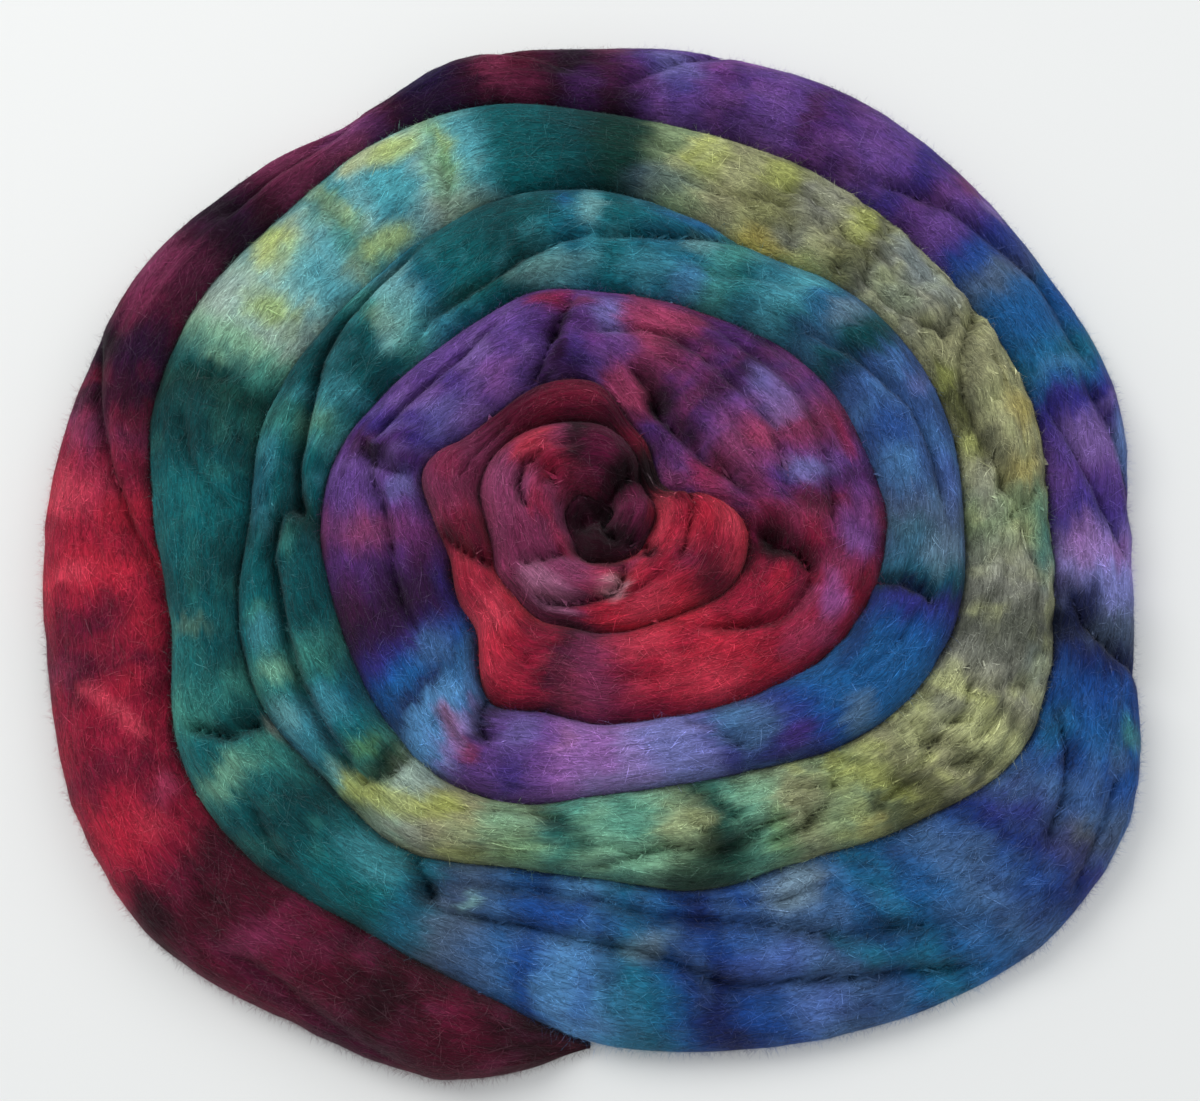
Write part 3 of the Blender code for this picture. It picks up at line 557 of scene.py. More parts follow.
# The dye across the whole strand, turn by turn: bearing within the turn, dye.
DYE_RUN = {
    1: (
        (180, "burgundy"), (189, "burgundy"), (195, "oxblood"), (200, "burgundy"),
        (206, "burgundy"), (211, "oxblood"), (217, "oxblood"), (223, "burgundy"),
        (228, "oxblood"), (231, "crimson"), (238, "crimson"), (241, "oxblood"), (244, "crimson"),
        (248, "crimson"), (251, "oxblood"), (257, "oxblood"), (260, "crimson"), (264, "cherry"),
        (268, "crimson"), (272, "cherry"), (276, "crimson"), (279, "raspberry"), (283, "plum"),
        (289, "aubergine"), (292, "plum"), (296, "oxblood"), (301, "raspberry"), (305, "plum"),
        (310, "aubergine"), (314, "plum"), (318, "raspberry"), (325, "raspberry"), (330, "mauve"),
        (333, "plum"), (336, "aubergine"), (341, "aubergine"), (344, "plum"), (347, "plum"),
        (350, "oxblood"), (353, "plum"), (357, "aubergine"), (361, "plum"), (365, "purple"),
        (369, "violet"), (373, "violet"), (376, "purple"), (380, "violet"), (384, "violet"),
        (387, "purple"), (391, "purple"), (396, "violet"), (401, "indigo"), (405, "purple"),
        (409, "violet"), (412, "indigo"), (415, "cobalt"), (418, "slate"), (421, "azure"),
        (427, "azure"), (430, "sea"), (433, "azure"), (435, "indigo"), (437.5, "indigo"),
        (440, "violet"), (447, "violet"), (451, "indigo"), (455, "lilac"), (459, "periwinkle"),
        (462, "slate"), (466, "midnight"), (470, "cobalt"), (475, "azure"), (479, "cobalt"),
        (483, "steel"), (487, "indigo"), (491, "cobalt"), (496, "steel"), (501, "azure"),
        (504.5, "sea"), (508, "azure"), (512, "steel"), (517, "steel"), (521, "cobalt"),
        (528, "midnight"), (531, "cobalt"), (534, "sea"), (538, "sea"),
    ),
    2: (
        (180, "sky"), (185, "sky"), (188, "cobalt"), (191, "azure"), (196, "steel"),
        (200, "slate"), (204, "sea"), (208, "teal"), (216, "teal"), (222, "deep_teal"),
        (227, "deep_teal"), (230, "teal"), (233, "jade"), (236, "teal"), (240, "teal"),
        (244, "jade"), (248, "teal"), (254, "teal"), (262, "deep_teal"), (268, "teal"),
        (275, "teal"), (280, "deep_teal"), (290, "pine"), (293, "teal"), (296, "mint"),
        (299, "bone"), (303, "bone"), (307, "pale_aqua"), (312, "aqua"), (316, "pale_aqua"),
        (320, "jade"), (323, "aqua"), (328, "aqua"), (333, "pale_aqua"), (338, "mint"),
        (341, "aqua"), (344, "teal"), (351, "teal"), (357, "deep_teal"), (363, "pine"),
        (367, "pine"), (370, "sage"), (374, "sage"), (378, "khaki"), (382, "khaki"),
        (388, "olive"), (394, "stone"), (399, "khaki"), (403, "olive"), (408, "stone"),
        (415, "stone"), (421, "khaki"), (444, "khaki"), (448, "sage"), (453, "sage"),
        (458, "stone"), (466, "smoke"), (473, "stone"), (478, "khaki"), (481, "pale_lime"),
        (486, "khaki"), (490, "khaki"), (494, "olive"), (498, "sage"), (505, "sage"),
        (509, "khaki"), (513, "mint"), (516.5, "jade"), (521, "pine"), (526, "sage"),
        (531, "mint"), (536, "jade"),
    ),
    3: (
        (180, "mint"), (184, "jade"), (188, "jade"), (192, "sage"), (198, "sage"), (202, "khaki"),
        (209, "khaki"), (213, "bone"), (216.5, "sage"), (219.5, "pine"), (222.5, "jade"),
        (226, "teal"), (232, "sea"), (238, "teal"), (243, "jade"), (247, "teal"), (258, "teal"),
        (267, "deep_teal"), (275, "teal"), (283, "teal"), (287, "jade"), (291, "teal"),
        (297, "teal"), (304, "deep_teal"), (309, "teal"), (314, "jade"), (318, "aqua"),
        (322, "sea"), (329, "teal"), (335, "teal"), (342, "deep_teal"), (350, "teal"),
        (355, "sea"), (362, "teal"), (370, "sea"), (380, "sea"), (386, "jade"), (394, "sea"),
        (400, "aqua"), (405, "sea"), (410, "steel"), (413, "teal"), (416.5, "deep_teal"),
        (420, "denim"), (443, "denim"), (451, "slate"), (457, "steel"), (461, "teal"),
        (464, "midnight"), (467, "indigo"), (470, "cobalt"), (476, "azure"), (490, "azure"),
        (495, "cobalt"), (499, "indigo"), (505, "steel"), (510, "steel"), (513, "indigo"),
        (517, "periwinkle"), (526, "periwinkle"), (534, "lilac"),
    ),
    4: (
        (180, "lilac"), (190, "orchid"), (193, "violet"), (204, "violet"), (208, "purple"),
        (211, "periwinkle"), (214, "sky"), (220, "sky"), (223.5, "midnight"), (227, "azure"),
        (231, "cobalt"), (235, "indigo"), (239, "aubergine"), (248, "aubergine"), (254, "purple"),
        (260, "purple"), (266, "mauve"), (271, "purple"), (277, "violet"), (281, "violet"),
        (285, "purple"), (289, "purple"), (294, "indigo"), (300, "violet"), (338, "violet"),
        (344, "purple"), (350, "purple"), (356, "violet"), (363, "violet"), (369, "raspberry"),
        (376, "rose"), (384, "raspberry"), (390, "purple"), (398, "purple"), (404, "aubergine"),
        (409, "violet"), (416, "violet"), (422, "mauve"), (428, "raspberry"), (435, "violet"),
        (441, "purple"), (446, "oxblood"), (452, "raspberry"), (458, "wine"), (466, "crimson"),
        (486, "crimson"), (496, "cherry"), (512, "cherry"), (530, "crimson"),
    ),
    5: (
        (180, "raspberry"), (186, "raspberry"), (190, "plum"), (196, "plum"), (200, "crimson"),
        (208, "crimson"), (214, "cherry"), (230, "cherry"), (238, "crimson"), (246, "cherry"),
        (252, "crimson"), (258, "oxblood"), (266, "crimson"), (276, "raspberry"),
        (300, "raspberry"), (315, "oxblood"), (358, "oxblood"), (372, "wine"), (382, "oxblood"),
        (395, "burgundy"), (420, "burgundy"), (434, "oxblood"), (440, "crimson"), (448, "cherry"),
        (460, "cherry"), (470, "crimson"), (480, "oxblood"), (488, "crimson"), (498, "cherry"),
        (512, "crimson"), (524, "cherry"), (536, "cherry"),
    ),
    6: (
        (180, "crimson"), (188, "raspberry"), (196, "mauve"), (228, "mauve"), (236, "raspberry"),
        (270, "raspberry"), (285, "mauve"), (296, "mauve"), (304, "oxblood"), (310, "crimson"),
        (322, "crimson"), (332, "raspberry"), (340, "plum"), (350, "burgundy"), (362, "wine"),
        (376, "wine"), (386, "soot"), (394, "burgundy"), (410, "wine"), (450, "wine"),
        (490, "plum"), (530, "burgundy"),
    ),
    7: (
        (180, "soot"), (240, "wine"), (430, "soot"),
    ),
}

# Where the dyer put more, turn by turn: bearing, radius, half-length, half-width, dye, strength.
DYE_SPOTS = {
    1: (
        (203, 211, 14, 8, "soot", 0.5), (197, 222, 20, 9, "burgundy", 0.5),
        (188, 209, 12, 7, "soot", 0.5), (205, 228, 26, 6, "plum", 0.6),
        (214, 227, 20, 4, "plum", 0.5), (210, 215, 14, 12, "burgundy", 0.5),
        (218, 217, 7, 9, "raspberry", 0.4), (227, 237, 12, 6, "soot", 0.8),
        (228, 207, 9, 9, "soot", 0.55), (223, 219, 10, 9, "burgundy", 0.5),
        (235, 228, 14, 12, "cherry", 0.6), (236, 207, 6, 6, "rose", 0.4),
        (234, 218, 7, 6, "coral", 0.25), (243, 229, 14, 8, "crimson", 0.5),
        (241, 219, 6, 14, "oxblood", 0.5), (243, 197, 10, 7, "crimson", 0.6),
        (249, 205, 6, 9, "cherry", 0.5), (255, 192, 12, 8, "cherry", 0.6),
        (253, 229, 5, 7, "rose", 0.25), (256, 222, 8, 12, "oxblood", 0.5),
        (263, 212, 7, 24, "cherry", 0.7), (263, 219, 5, 10, "coral", 0.5),
        (266, 229, 8, 7, "crimson", 0.4), (266, 200, 5, 10, "crimson", 0.5),
        (273, 214, 12, 17, "rose", 0.3), (272, 223, 10, 10, "coral", 0.55),
        (270, 203, 9, 8, "cherry", 0.7), (275, 197, 9, 8, "oxblood", 0.6),
        (280, 224, 8, 10, "mauve", 0.4), (289, 226, 10, 8, "soot", 0.8),
        (285, 217, 14, 8, "plum", 0.6), (283, 206, 12, 8, "plum", 0.6),
        (291, 208, 16, 9, "aubergine", 0.6), (297, 224, 18, 8, "raspberry", 0.6),
        (299, 229, 14, 5, "mauve", 0.4), (300, 209, 12, 9, "plum", 0.6),
        (310, 222, 9, 9, "soot", 0.7), (308, 209, 10, 11, "soot", 0.45),
        (321, 222, 18, 6, "mauve", 0.5), (327, 218, 12, 6, "orchid", 0.25),
        (313, 206, 8, 5, "burgundy", 0.5), (326, 211, 12, 6, "mauve", 0.4),
        (331, 213, 8, 8, "purple", 0.5), (338, 217, 11, 12, "aubergine", 0.7),
        (339, 226, 14, 6, "midnight", 0.4), (347, 219, 8, 7, "rose", 0.45),
        (350, 209, 9, 7, "raspberry", 0.4), (356, 218, 9, 9, "soot", 0.65),
        (361, 227, 8, 6, "mauve", 0.4), (358, 206, 8, 8, "purple", 0.4),
        (363, 199, 13, 6, "soot", 0.7), (369, 219, 11, 10, "periwinkle", 0.5),
        (370, 210, 6, 6, "indigo", 0.5), (366, 222, 5, 8, "indigo", 0.4),
        (375, 221, 4, 12, "magenta", 0.35), (378, 231, 5, 4, "orchid", 0.5),
        (383, 217, 12, 12, "violet", 0.5), (387, 214, 4, 14, "plum", 0.5),
        (379, 200, 14, 6, "aubergine", 0.45), (396, 217, 14, 12, "violet", 0.4),
        (394, 199, 20, 6, "aubergine", 0.5), (403, 217, 6, 9, "indigo", 0.5),
        (407, 226, 6, 5, "mauve", 0.5), (411, 226, 6, 4, "lilac", 0.6),
        (416, 221, 13, 8, "indigo", 0.45), (409, 203, 10, 8, "violet", 0.4),
        (414.5, 204, 8, 9, "cobalt", 0.5), (418, 208, 7, 9, "slate", 0.5),
        (424, 212, 12, 14, "azure", 0.4), (424, 226, 14, 5, "cobalt", 0.5),
        (431, 220, 7, 10, "sea", 0.6), (431.5, 211, 3, 12, "sky", 0.4),
        (429, 203, 6, 9, "azure", 0.4), (435.5, 210, 4, 20, "indigo", 0.8),
        (437, 226, 3, 5, "lilac", 0.4), (441, 211, 11, 10, "lilac", 0.35),
        (442, 226, 14, 4, "sky", 0.6), (447, 214, 8, 8, "indigo", 0.4),
        (440, 198, 16, 6, "indigo", 0.5), (448, 203, 12, 6, "indigo", 0.5),
        (455, 216, 6, 5, "orchid", 0.5), (454, 201, 9, 7, "rose", 0.25),
        (454, 205, 10, 7, "lilac", 0.45), (459, 213, 9, 9, "periwinkle", 0.6),
        (462, 202, 12, 7, "midnight", 0.9), (465, 215, 5, 10, "slate", 0.5),
        (467, 214, 7, 14, "midnight", 0.6), (472, 212, 9, 10, "cobalt", 0.4),
        (475, 222, 10, 8, "azure", 0.4), (474, 231, 6, 5, "jade", 0.6),
        (477, 230, 5, 5, "slate", 0.4), (482, 220, 8, 6, "denim", 0.4),
        (487, 229, 10, 8, "smoke", 0.35), (477, 204, 10, 6, "sea", 0.4),
        (485, 232, 4, 8, "smoke", 0.5), (484, 241, 9, 4, "slate", 0.5),
        (491, 238, 16, 8, "midnight", 0.6), (488, 211, 12, 12, "midnight", 0.55),
        (495, 206, 10, 12, "steel", 0.4), (493, 200, 7, 8, "steel", 0.5),
        (500, 198, 10, 12, "azure", 0.5), (499, 231, 8, 10, "azure", 0.4),
        (511, 221, 14, 9, "midnight", 0.4), (513, 171, 11, 8, "mist", 0.6),
        (517, 212, 12, 9, "cornflower", 0.45), (523, 206, 9, 9, "cobalt", 0.5),
        (528, 207, 7, 14, "midnight", 0.5), (535, 197, 12, 14, "sea", 0.5),
        (520, 192, 14, 8, "cornflower", 0.5), (525, 178, 10, 7, "cobalt", 0.5),
        (534, 175, 8, 5, "mist", 0.5), (535, 163, 15, 7, "azure", 0.5),
        (514, 205, 7, 7, "steel", 0.3),
    ),
    2: (
        (182, 190, 4, 14, "cobalt", 0.5), (185, 190, 9, 9, "sky", 0.5),
        (188.5, 186, 4, 14, "cobalt", 0.8), (184, 178, 9, 7, "sky", 0.4),
        (186, 163, 16, 7, "cobalt", 0.9), (195, 184, 10, 10, "steel", 0.5),
        (199, 176, 10, 12, "slate", 0.4), (197.5, 166, 3, 4, "pale_aqua", 0.6),
        (201, 163, 6, 7, "midnight", 0.5), (204, 181, 8, 12, "sea", 0.5),
        (212, 166, 16, 7, "aqua", 0.4), (215, 184, 14, 8, "teal", 0.5),
        (225, 176, 9, 14, "deep_teal", 0.6), (233, 184, 6, 12, "mint", 0.5),
        (234, 167, 3, 8, "jade", 0.5), (235.5, 160, 6, 3, "stone", 0.7),
        (238.5, 170, 6, 11, "pine", 0.5), (243, 187, 9, 8, "jade", 0.6),
        (245, 176, 9, 9, "teal", 0.5), (250, 165, 14, 7, "deep_teal", 0.5),
        (253, 173, 4, 7, "sage", 0.25), (253, 186, 8, 5, "jade", 0.3),
        (264, 175, 9, 9, "teal", 0.5), (273, 174, 10, 14, "teal", 0.5),
        (284, 184, 16, 14, "deep_teal", 0.6), (290, 176, 7, 16, "pine", 0.5),
        (293, 181, 3, 6, "mint", 0.5), (296.5, 175, 5, 16, "mint", 0.5),
        (294, 158, 9, 6, "jade", 0.6), (302, 194, 14, 9, "bone", 0.6),
        (301, 176, 6, 12, "pale_aqua", 0.4), (303, 173, 4, 9, "fern", 0.5),
        (303, 174, 8, 11, "acid", 0.5), (320.5, 186, 4, 16, "acid", 0.5),
        (302, 160, 8, 5, "sage", 0.5), (311, 192, 10, 13, "acid", 0.9),
        (314, 193, 6, 10, "pale_lime", 0.4), (309, 190, 9, 14, "pale_lime", 0.4),
        (312, 170, 15, 13, "aqua", 0.7), (320, 192, 8, 9, "teal", 0.5),
        (319, 170, 8, 12, "jade", 0.5), (318, 160, 9, 5, "sage", 0.5),
        (328.5, 180, 19, 24, "bone", 0.5), (328.5, 180, 15, 20, "pool", 0.9),
        (327, 166, 8, 8, "sea", 0.3), (324, 160, 11, 6, "acid", 0.65),
        (335, 162, 16, 7, "stone", 0.5), (328, 203, 17, 7, "pale_lime", 0.75),
        (332, 198, 9, 6, "acid", 0.7), (335, 178, 4, 14, "mint", 0.5),
        (337.5, 186, 3, 16, "fern", 0.6), (338, 192, 3, 7, "lime", 0.4),
        (341, 188, 5, 15, "aqua", 0.6), (345, 205, 10, 4, "teal", 0.5),
        (351, 185, 18, 14, "deep_teal", 0.4), (363, 174, 10, 16, "pine", 0.6),
        (370, 186, 7, 8, "sage", 0.5), (370, 161, 16, 6, "slate", 0.5),
        (376, 178, 9, 11, "lime", 0.7), (387, 181, 9, 8, "lime", 0.7),
        (388, 162, 22, 9, "olive", 0.5), (389, 146, 16, 5, "ochre", 0.8),
        (397, 147, 8, 5, "lime", 0.5), (395, 176, 10, 12, "stone", 0.5),
        (401, 181, 6, 10, "lime", 0.75), (406, 187, 6, 5, "pale_lime", 0.4),
        (412, 180, 18, 8, "mist", 0.35), (404, 160, 10, 7, "moss", 0.3),
        (412, 165, 14, 6, "sage", 0.4), (420, 170, 5, 10, "smoke", 0.4),
        (430, 180, 20, 10, "khaki", 0.5), (436, 184, 13, 7, "ochre", 0.6),
        (433, 175, 6, 5, "pale_lime", 0.4), (431, 162, 20, 5, "moss", 0.85),
        (428, 163, 4, 4, "lime", 0.4), (439, 163, 5, 5, "lime", 0.5),
        (444, 179, 6, 8, "ochre", 0.5), (453, 186, 16, 6, "jade", 0.6),
        (456, 187, 14, 6, "teal", 0.4), (446, 163, 12, 6, "stone", 0.6),
        (458, 170, 14, 10, "stone", 0.5), (469, 175, 10, 12, "smoke", 0.5),
        (470, 188, 8, 5, "bone", 0.25), (481, 178, 8, 13, "pale_lime", 0.7),
        (478, 170, 4, 8, "lime", 0.3), (487, 156, 9, 7, "pale_lime", 0.6),
        (481, 162, 8, 6, "stone", 0.4), (493, 176, 9, 7, "olive", 0.5),
        (501, 168, 6, 6, "ochre", 0.4), (502, 155, 10, 8, "sage", 0.5),
        (506, 142, 10, 9, "khaki", 0.5), (512, 130, 10, 5, "mint", 0.6),
        (524, 152, 20, 8, "pine", 0.85), (519, 136, 6, 11, "pine", 0.6),
        (526, 133, 10, 8, "pale_lime", 0.45), (535, 127, 12, 7, "jade", 0.5),
        (535, 141, 12, 6, "mint", 0.5), (512, 150, 5, 10, "fern", 0.4),
    ),
    3: (
        (187, 131, 7, 6, "teal", 0.5), (182, 143, 8, 6, "mint", 0.4),
        (193, 143, 9, 6, "fern", 0.35), (196, 132, 10, 7, "mint", 0.5),
        (202, 150, 9, 5, "lime", 0.4), (207, 136, 6, 5, "lime", 0.9),
        (203, 140, 6, 5, "pale_lime", 0.4), (209, 150, 9, 5, "stone", 0.7),
        (205, 146, 8, 4, "khaki", 0.6), (213, 134, 7, 9, "bone", 0.8),
        (224, 151, 6, 4, "pale_aqua", 0.5), (220, 134, 4, 9, "pine", 0.85),
        (223.5, 134, 4, 6, "fern", 0.6), (228, 131, 7, 8, "teal", 0.5),
        (233, 136, 8, 6, "aqua", 0.4), (233, 148, 14, 6, "aqua", 0.4),
        (236, 153, 8, 4, "pale_aqua", 0.3), (240, 130, 7, 7, "jade", 0.4),
        (243, 147, 5, 6, "mint", 0.5), (249, 147, 9, 5, "aqua", 0.4),
        (253, 146, 4, 5, "jade", 0.5), (236, 124, 18, 5, "deep_teal", 0.6),
        (252, 128, 20, 9, "deep_teal", 0.6), (262, 145, 12, 5, "teal", 0.5),
        (264, 130, 6, 5, "jade", 0.4), (268, 124, 8, 6, "pine", 0.6),
        (275, 144, 14, 6, "sea", 0.4), (288, 127, 9, 8, "jade", 0.5),
        (289, 128, 5, 6, "mint", 0.3), (295, 126, 10, 8, "aqua", 0.35),
        (296, 147, 20, 5, "deep_teal", 0.7), (304, 128, 9, 10, "deep_teal", 0.4),
        (330, 141, 16, 9, "teal", 0.4), (312, 130, 5, 8, "sage", 0.4),
        (320, 145, 6, 6, "aqua", 0.5), (324, 150, 16, 3, "pine", 0.5),
        (330, 119, 22, 4, "pine", 0.6), (338, 143, 12, 10, "deep_teal", 0.5),
        (349, 118, 16, 6, "pale_aqua", 0.45), (352, 112, 12, 4, "aqua", 0.4),
        (350, 150, 13, 6, "deep_teal", 0.6), (354, 150, 3, 6, "azure", 0.5),
        (358.5, 145, 5, 9, "pale_aqua", 0.5), (346, 131, 10, 7, "deep_teal", 0.5),
        (365, 142, 10, 6, "teal", 0.5), (377, 144, 14, 4, "azure", 0.6),
        (380, 132, 7, 5, "pale_aqua", 0.4), (379, 114, 9, 6, "sky", 0.5),
        (370, 118, 12, 8, "aqua", 0.3), (390, 121, 12, 6, "teal", 0.5),
        (400, 140, 7, 10, "aqua", 0.4), (405, 135, 5, 8, "azure", 0.35),
        (410, 142, 6, 8, "mist", 0.4), (416, 135, 7, 15, "deep_teal", 0.8),
        (404, 121, 10, 5, "deep_teal", 0.5), (418, 124, 7, 6, "midnight", 0.4),
        (427, 150, 5, 6, "periwinkle", 0.35), (433, 130, 9, 8, "cobalt", 0.5),
        (441, 128, 11, 7, "sky", 0.45), (446, 148, 14, 5, "cornflower", 0.4),
        (457, 143, 8, 8, "mist", 0.35), (454, 130, 8, 8, "teal", 0.4),
        (464.5, 130, 4, 9, "midnight", 0.9), (468, 133, 5, 8, "indigo", 0.6),
        (480, 136, 16, 10, "azure", 0.5), (477, 118, 16, 3, "midnight", 0.6),
        (489, 134, 7, 6, "mist", 0.35), (503, 122, 13, 5, "indigo", 0.8),
        (500, 122, 8, 5, "purple", 0.4), (506, 107, 12, 8, "steel", 0.7),
        (509, 102, 8, 4, "sky", 0.4), (513, 116, 5, 6, "indigo", 0.6),
        (520, 113, 10, 5, "periwinkle", 0.5), (525, 98, 12, 7, "periwinkle", 0.6),
        (535, 105, 9, 12, "lilac", 0.6), (539, 100, 6, 12, "orchid", 0.5),
    ),
    4: (
        (182, 97, 8, 10, "orchid", 0.4), (188, 96, 4, 6, "pale_mauve", 0.35),
        (187, 112, 8, 8, "orchid", 0.3), (193, 104, 6, 10, "violet", 0.4),
        (192, 118, 6, 4, "violet", 0.6), (198, 116, 5, 7, "indigo", 0.6),
        (200, 98, 8, 9, "periwinkle", 0.3), (203, 110, 7, 6, "violet", 0.4),
        (208, 98, 3, 11, "aubergine", 0.8), (214, 119, 8, 5, "sky", 0.6),
        (215, 100, 6, 12, "sky", 0.6), (219, 108, 6, 14, "sky", 0.7),
        (219, 86, 9, 9, "azure", 0.5), (214, 97, 4, 6, "azure", 0.4),
        (223.8, 104, 3, 16, "midnight", 0.8), (228.5, 107, 5, 10, "azure", 0.7),
        (231, 108, 3, 10, "cobalt", 0.5), (230, 89, 8, 8, "steel", 0.6),
        (235, 104, 4, 16, "indigo", 0.7), (240, 100, 9, 15, "aubergine", 0.7),
        (243, 72, 14, 4, "indigo", 0.6), (250, 110, 12, 7, "plum", 0.5),
        (250, 94, 12, 6, "aubergine", 0.5), (260, 110, 10, 6, "purple", 0.4),
        (265, 100, 9, 9, "mauve", 0.6), (268, 108, 8, 7, "violet", 0.3),
        (274, 100, 8, 10, "violet", 0.6), (278, 84, 6, 6, "periwinkle", 0.45),
        (246, 80, 9, 6, "aubergine", 0.6), (256, 77, 8, 7, "plum", 0.6),
        (265, 76, 8, 7, "magenta", 0.35), (271, 76, 6, 6, "violet", 0.4),
        (285, 99, 4, 6, "soot", 0.85), (288, 107, 6, 5, "plum", 0.6),
        (296, 84, 9, 8, "indigo", 0.5), (303, 80, 9, 8, "periwinkle", 0.3),
        (312, 86, 5, 11, "indigo", 0.35), (325, 74, 7, 7, "orchid", 0.6),
        (331, 76, 9, 9, "violet", 0.4), (322, 101, 18, 5, "violet", 0.5),
        (347, 103, 9, 5, "crimson", 0.75), (354, 98, 7, 4, "raspberry", 0.7),
        (354, 88, 6, 8, "purple", 0.6), (350, 68, 6, 6, "aubergine", 0.7),
        (353, 74, 8, 6, "indigo", 0.4), (359, 79, 5, 7, "magenta", 0.5),
        (362, 91, 7, 9, "periwinkle", 0.5), (361, 103, 8, 3, "purple", 0.6),
        (368, 95, 6, 9, "rose", 0.5), (375, 94, 8, 7, "rose", 0.6), (384, 97, 8, 5, "rose", 0.5),
        (383, 84, 10, 6, "plum", 0.6), (387, 75, 7, 5, "raspberry", 0.5),
        (377, 104, 12, 3, "purple", 0.5), (367, 75, 8, 5, "violet", 0.5),
        (378, 68, 8, 5, "aubergine", 0.6), (396, 102, 9, 6, "purple", 0.6),
        (392, 92, 7, 4, "plum", 0.5), (403, 92, 5, 10, "aubergine", 0.6),
        (400, 76, 9, 6, "plum", 0.5), (412, 92, 9, 8, "periwinkle", 0.45),
        (419, 92, 6, 8, "lilac", 0.4), (413, 104, 12, 4, "aubergine", 0.5),
        (418, 112, 9, 4, "purple", 0.5), (428, 98, 5, 12, "raspberry", 0.5),
        (430, 112, 12, 4, "crimson", 0.5), (437, 90, 5, 10, "periwinkle", 0.6),
        (431, 103, 8, 3, "plum", 0.5), (440, 78, 6, 6, "indigo", 0.5),
        (446, 112, 8, 6, "violet", 0.5), (446, 90, 6, 12, "burgundy", 0.6),
        (401, 66, 8, 8, "plum", 0.5), (409, 61, 8, 6, "purple", 0.4),
        (416, 70, 8, 8, "mauve", 0.4), (424, 75, 8, 6, "rose", 0.7),
        (424, 65, 8, 5, "mauve", 0.5), (434, 65, 8, 7, "mauve", 0.5),
        (440, 68, 5, 6, "raspberry", 0.6), (386, 60, 8, 5, "soot", 0.8),
        (366, 60, 9, 5, "rose", 0.8), (374, 54, 6, 4, "rose", 0.7),
        (381, 48, 8, 5, "aubergine", 0.6), (389, 44, 8, 4, "indigo", 0.5),
        (400, 42, 8, 6, "plum", 0.6), (414, 44, 12, 5, "purple", 0.4),
        (430, 50, 8, 8, "crimson", 0.6), (438, 52, 6, 8, "rose", 0.5),
        (424, 36, 8, 4, "raspberry", 0.5), (404, 53, 9, 4, "plum", 0.6),
        (455, 92, 6, 7, "crimson", 0.6), (454, 108, 10, 9, "violet", 0.6),
        (457, 107, 5, 6, "orchid", 0.4), (463, 102, 6, 8, "mauve", 0.5),
        (471, 102, 9, 7, "orchid", 0.55), (478, 104, 9, 6, "mauve", 0.5),
        (473, 93, 10, 4, "rose", 0.4), (484, 98, 8, 6, "rose", 0.4),
        (454, 74, 8, 10, "oxblood", 0.8), (462, 76, 5, 12, "burgundy", 0.9),
        (466, 66, 8, 5, "burgundy", 0.8), (472, 79, 7, 5, "cherry", 0.5),
        (470, 87, 7, 4, "oxblood", 0.6), (483, 80, 8, 7, "crimson", 0.4),
        (503, 88, 9, 5, "coral", 0.3), (512, 80, 12, 6, "coral", 0.3),
        (507, 66, 10, 4, "crimson", 0.5), (530, 86, 12, 3, "oxblood", 0.4),
        (522, 60, 12, 4, "coral", 0.3),
    ),
    5: (
        (183, 72, 7, 12, "raspberry", 0.4), (193, 70, 5, 16, "plum", 0.7),
        (188, 60, 5, 7, "raspberry", 0.4), (199, 82, 5, 6, "crimson", 0.5),
        (204, 70, 6, 14, "crimson", 0.5), (206, 82, 5, 6, "cherry", 0.35),
        (209, 57, 8, 5, "oxblood", 0.5), (226, 62, 9, 7, "coral", 0.6),
        (236, 60, 8, 6, "crimson", 0.4), (248, 60, 8, 4, "coral", 0.3),
        (253, 52, 8, 4, "oxblood", 0.8), (262, 60, 7, 7, "oxblood", 0.5),
        (272, 66, 8, 7, "raspberry", 0.5), (283, 58, 9, 6, "oxblood", 0.4),
        (290, 68, 8, 6, "crimson", 0.3), (302, 60, 8, 6, "raspberry", 0.4),
        (326, 63, 16, 3, "plum", 0.6), (340, 54, 10, 6, "crimson", 0.3),
        (356, 50, 8, 6, "crimson", 0.3), (366, 44, 7, 5, "burgundy", 0.5),
        (382, 38, 9, 4, "crimson", 0.45), (400, 33, 8, 4, "soot", 0.5),
        (415, 29, 14, 4, "soot", 0.8), (438, 36, 5, 9, "burgundy", 0.5),
        (446, 52, 6, 6, "cherry", 0.6), (455, 54, 8, 6, "coral", 0.6),
        (447, 27, 8, 4, "coral", 0.5), (449, 40, 6, 5, "crimson", 0.4),
        (458, 43, 7, 5, "cherry", 0.5), (456, 33, 8, 3, "crimson", 0.5),
        (470, 48, 7, 6, "crimson", 0.5), (483, 52, 8, 7, "burgundy", 0.6),
        (486, 43, 6, 5, "raspberry", 0.3), (474, 30, 8, 5, "cherry", 0.5),
        (470, 27, 8, 3, "coral", 0.4), (500, 47, 9, 5, "cherry", 0.5),
        (514, 44, 10, 5, "coral", 0.45), (506, 34, 9, 5, "crimson", 0.6),
        (514, 32, 6, 4, "cherry", 0.5), (491, 28, 3, 5, "soot", 0.6),
        (497, 28, 4, 4, "plum", 0.4), (530, 37, 9, 3, "crimson", 0.5),
        (531, 32.5, 6, 4.5, "shell", 1.0), (520, 25, 8, 3, "mauve", 0.5),
        (530, 22, 9, 2, "soot", 0.6), (536, 44, 7, 5, "cherry", 0.5),
    ),
    6: (
        (182, 42, 5, 5, "cherry", 0.5), (196, 47, 10, 3, "burgundy", 0.8),
        (212, 48, 8, 3, "burgundy", 0.7), (228, 45, 7, 3, "plum", 0.6),
        (186, 32, 5, 4, "rose", 0.5), (183, 31, 8, 5, "rose", 0.5),
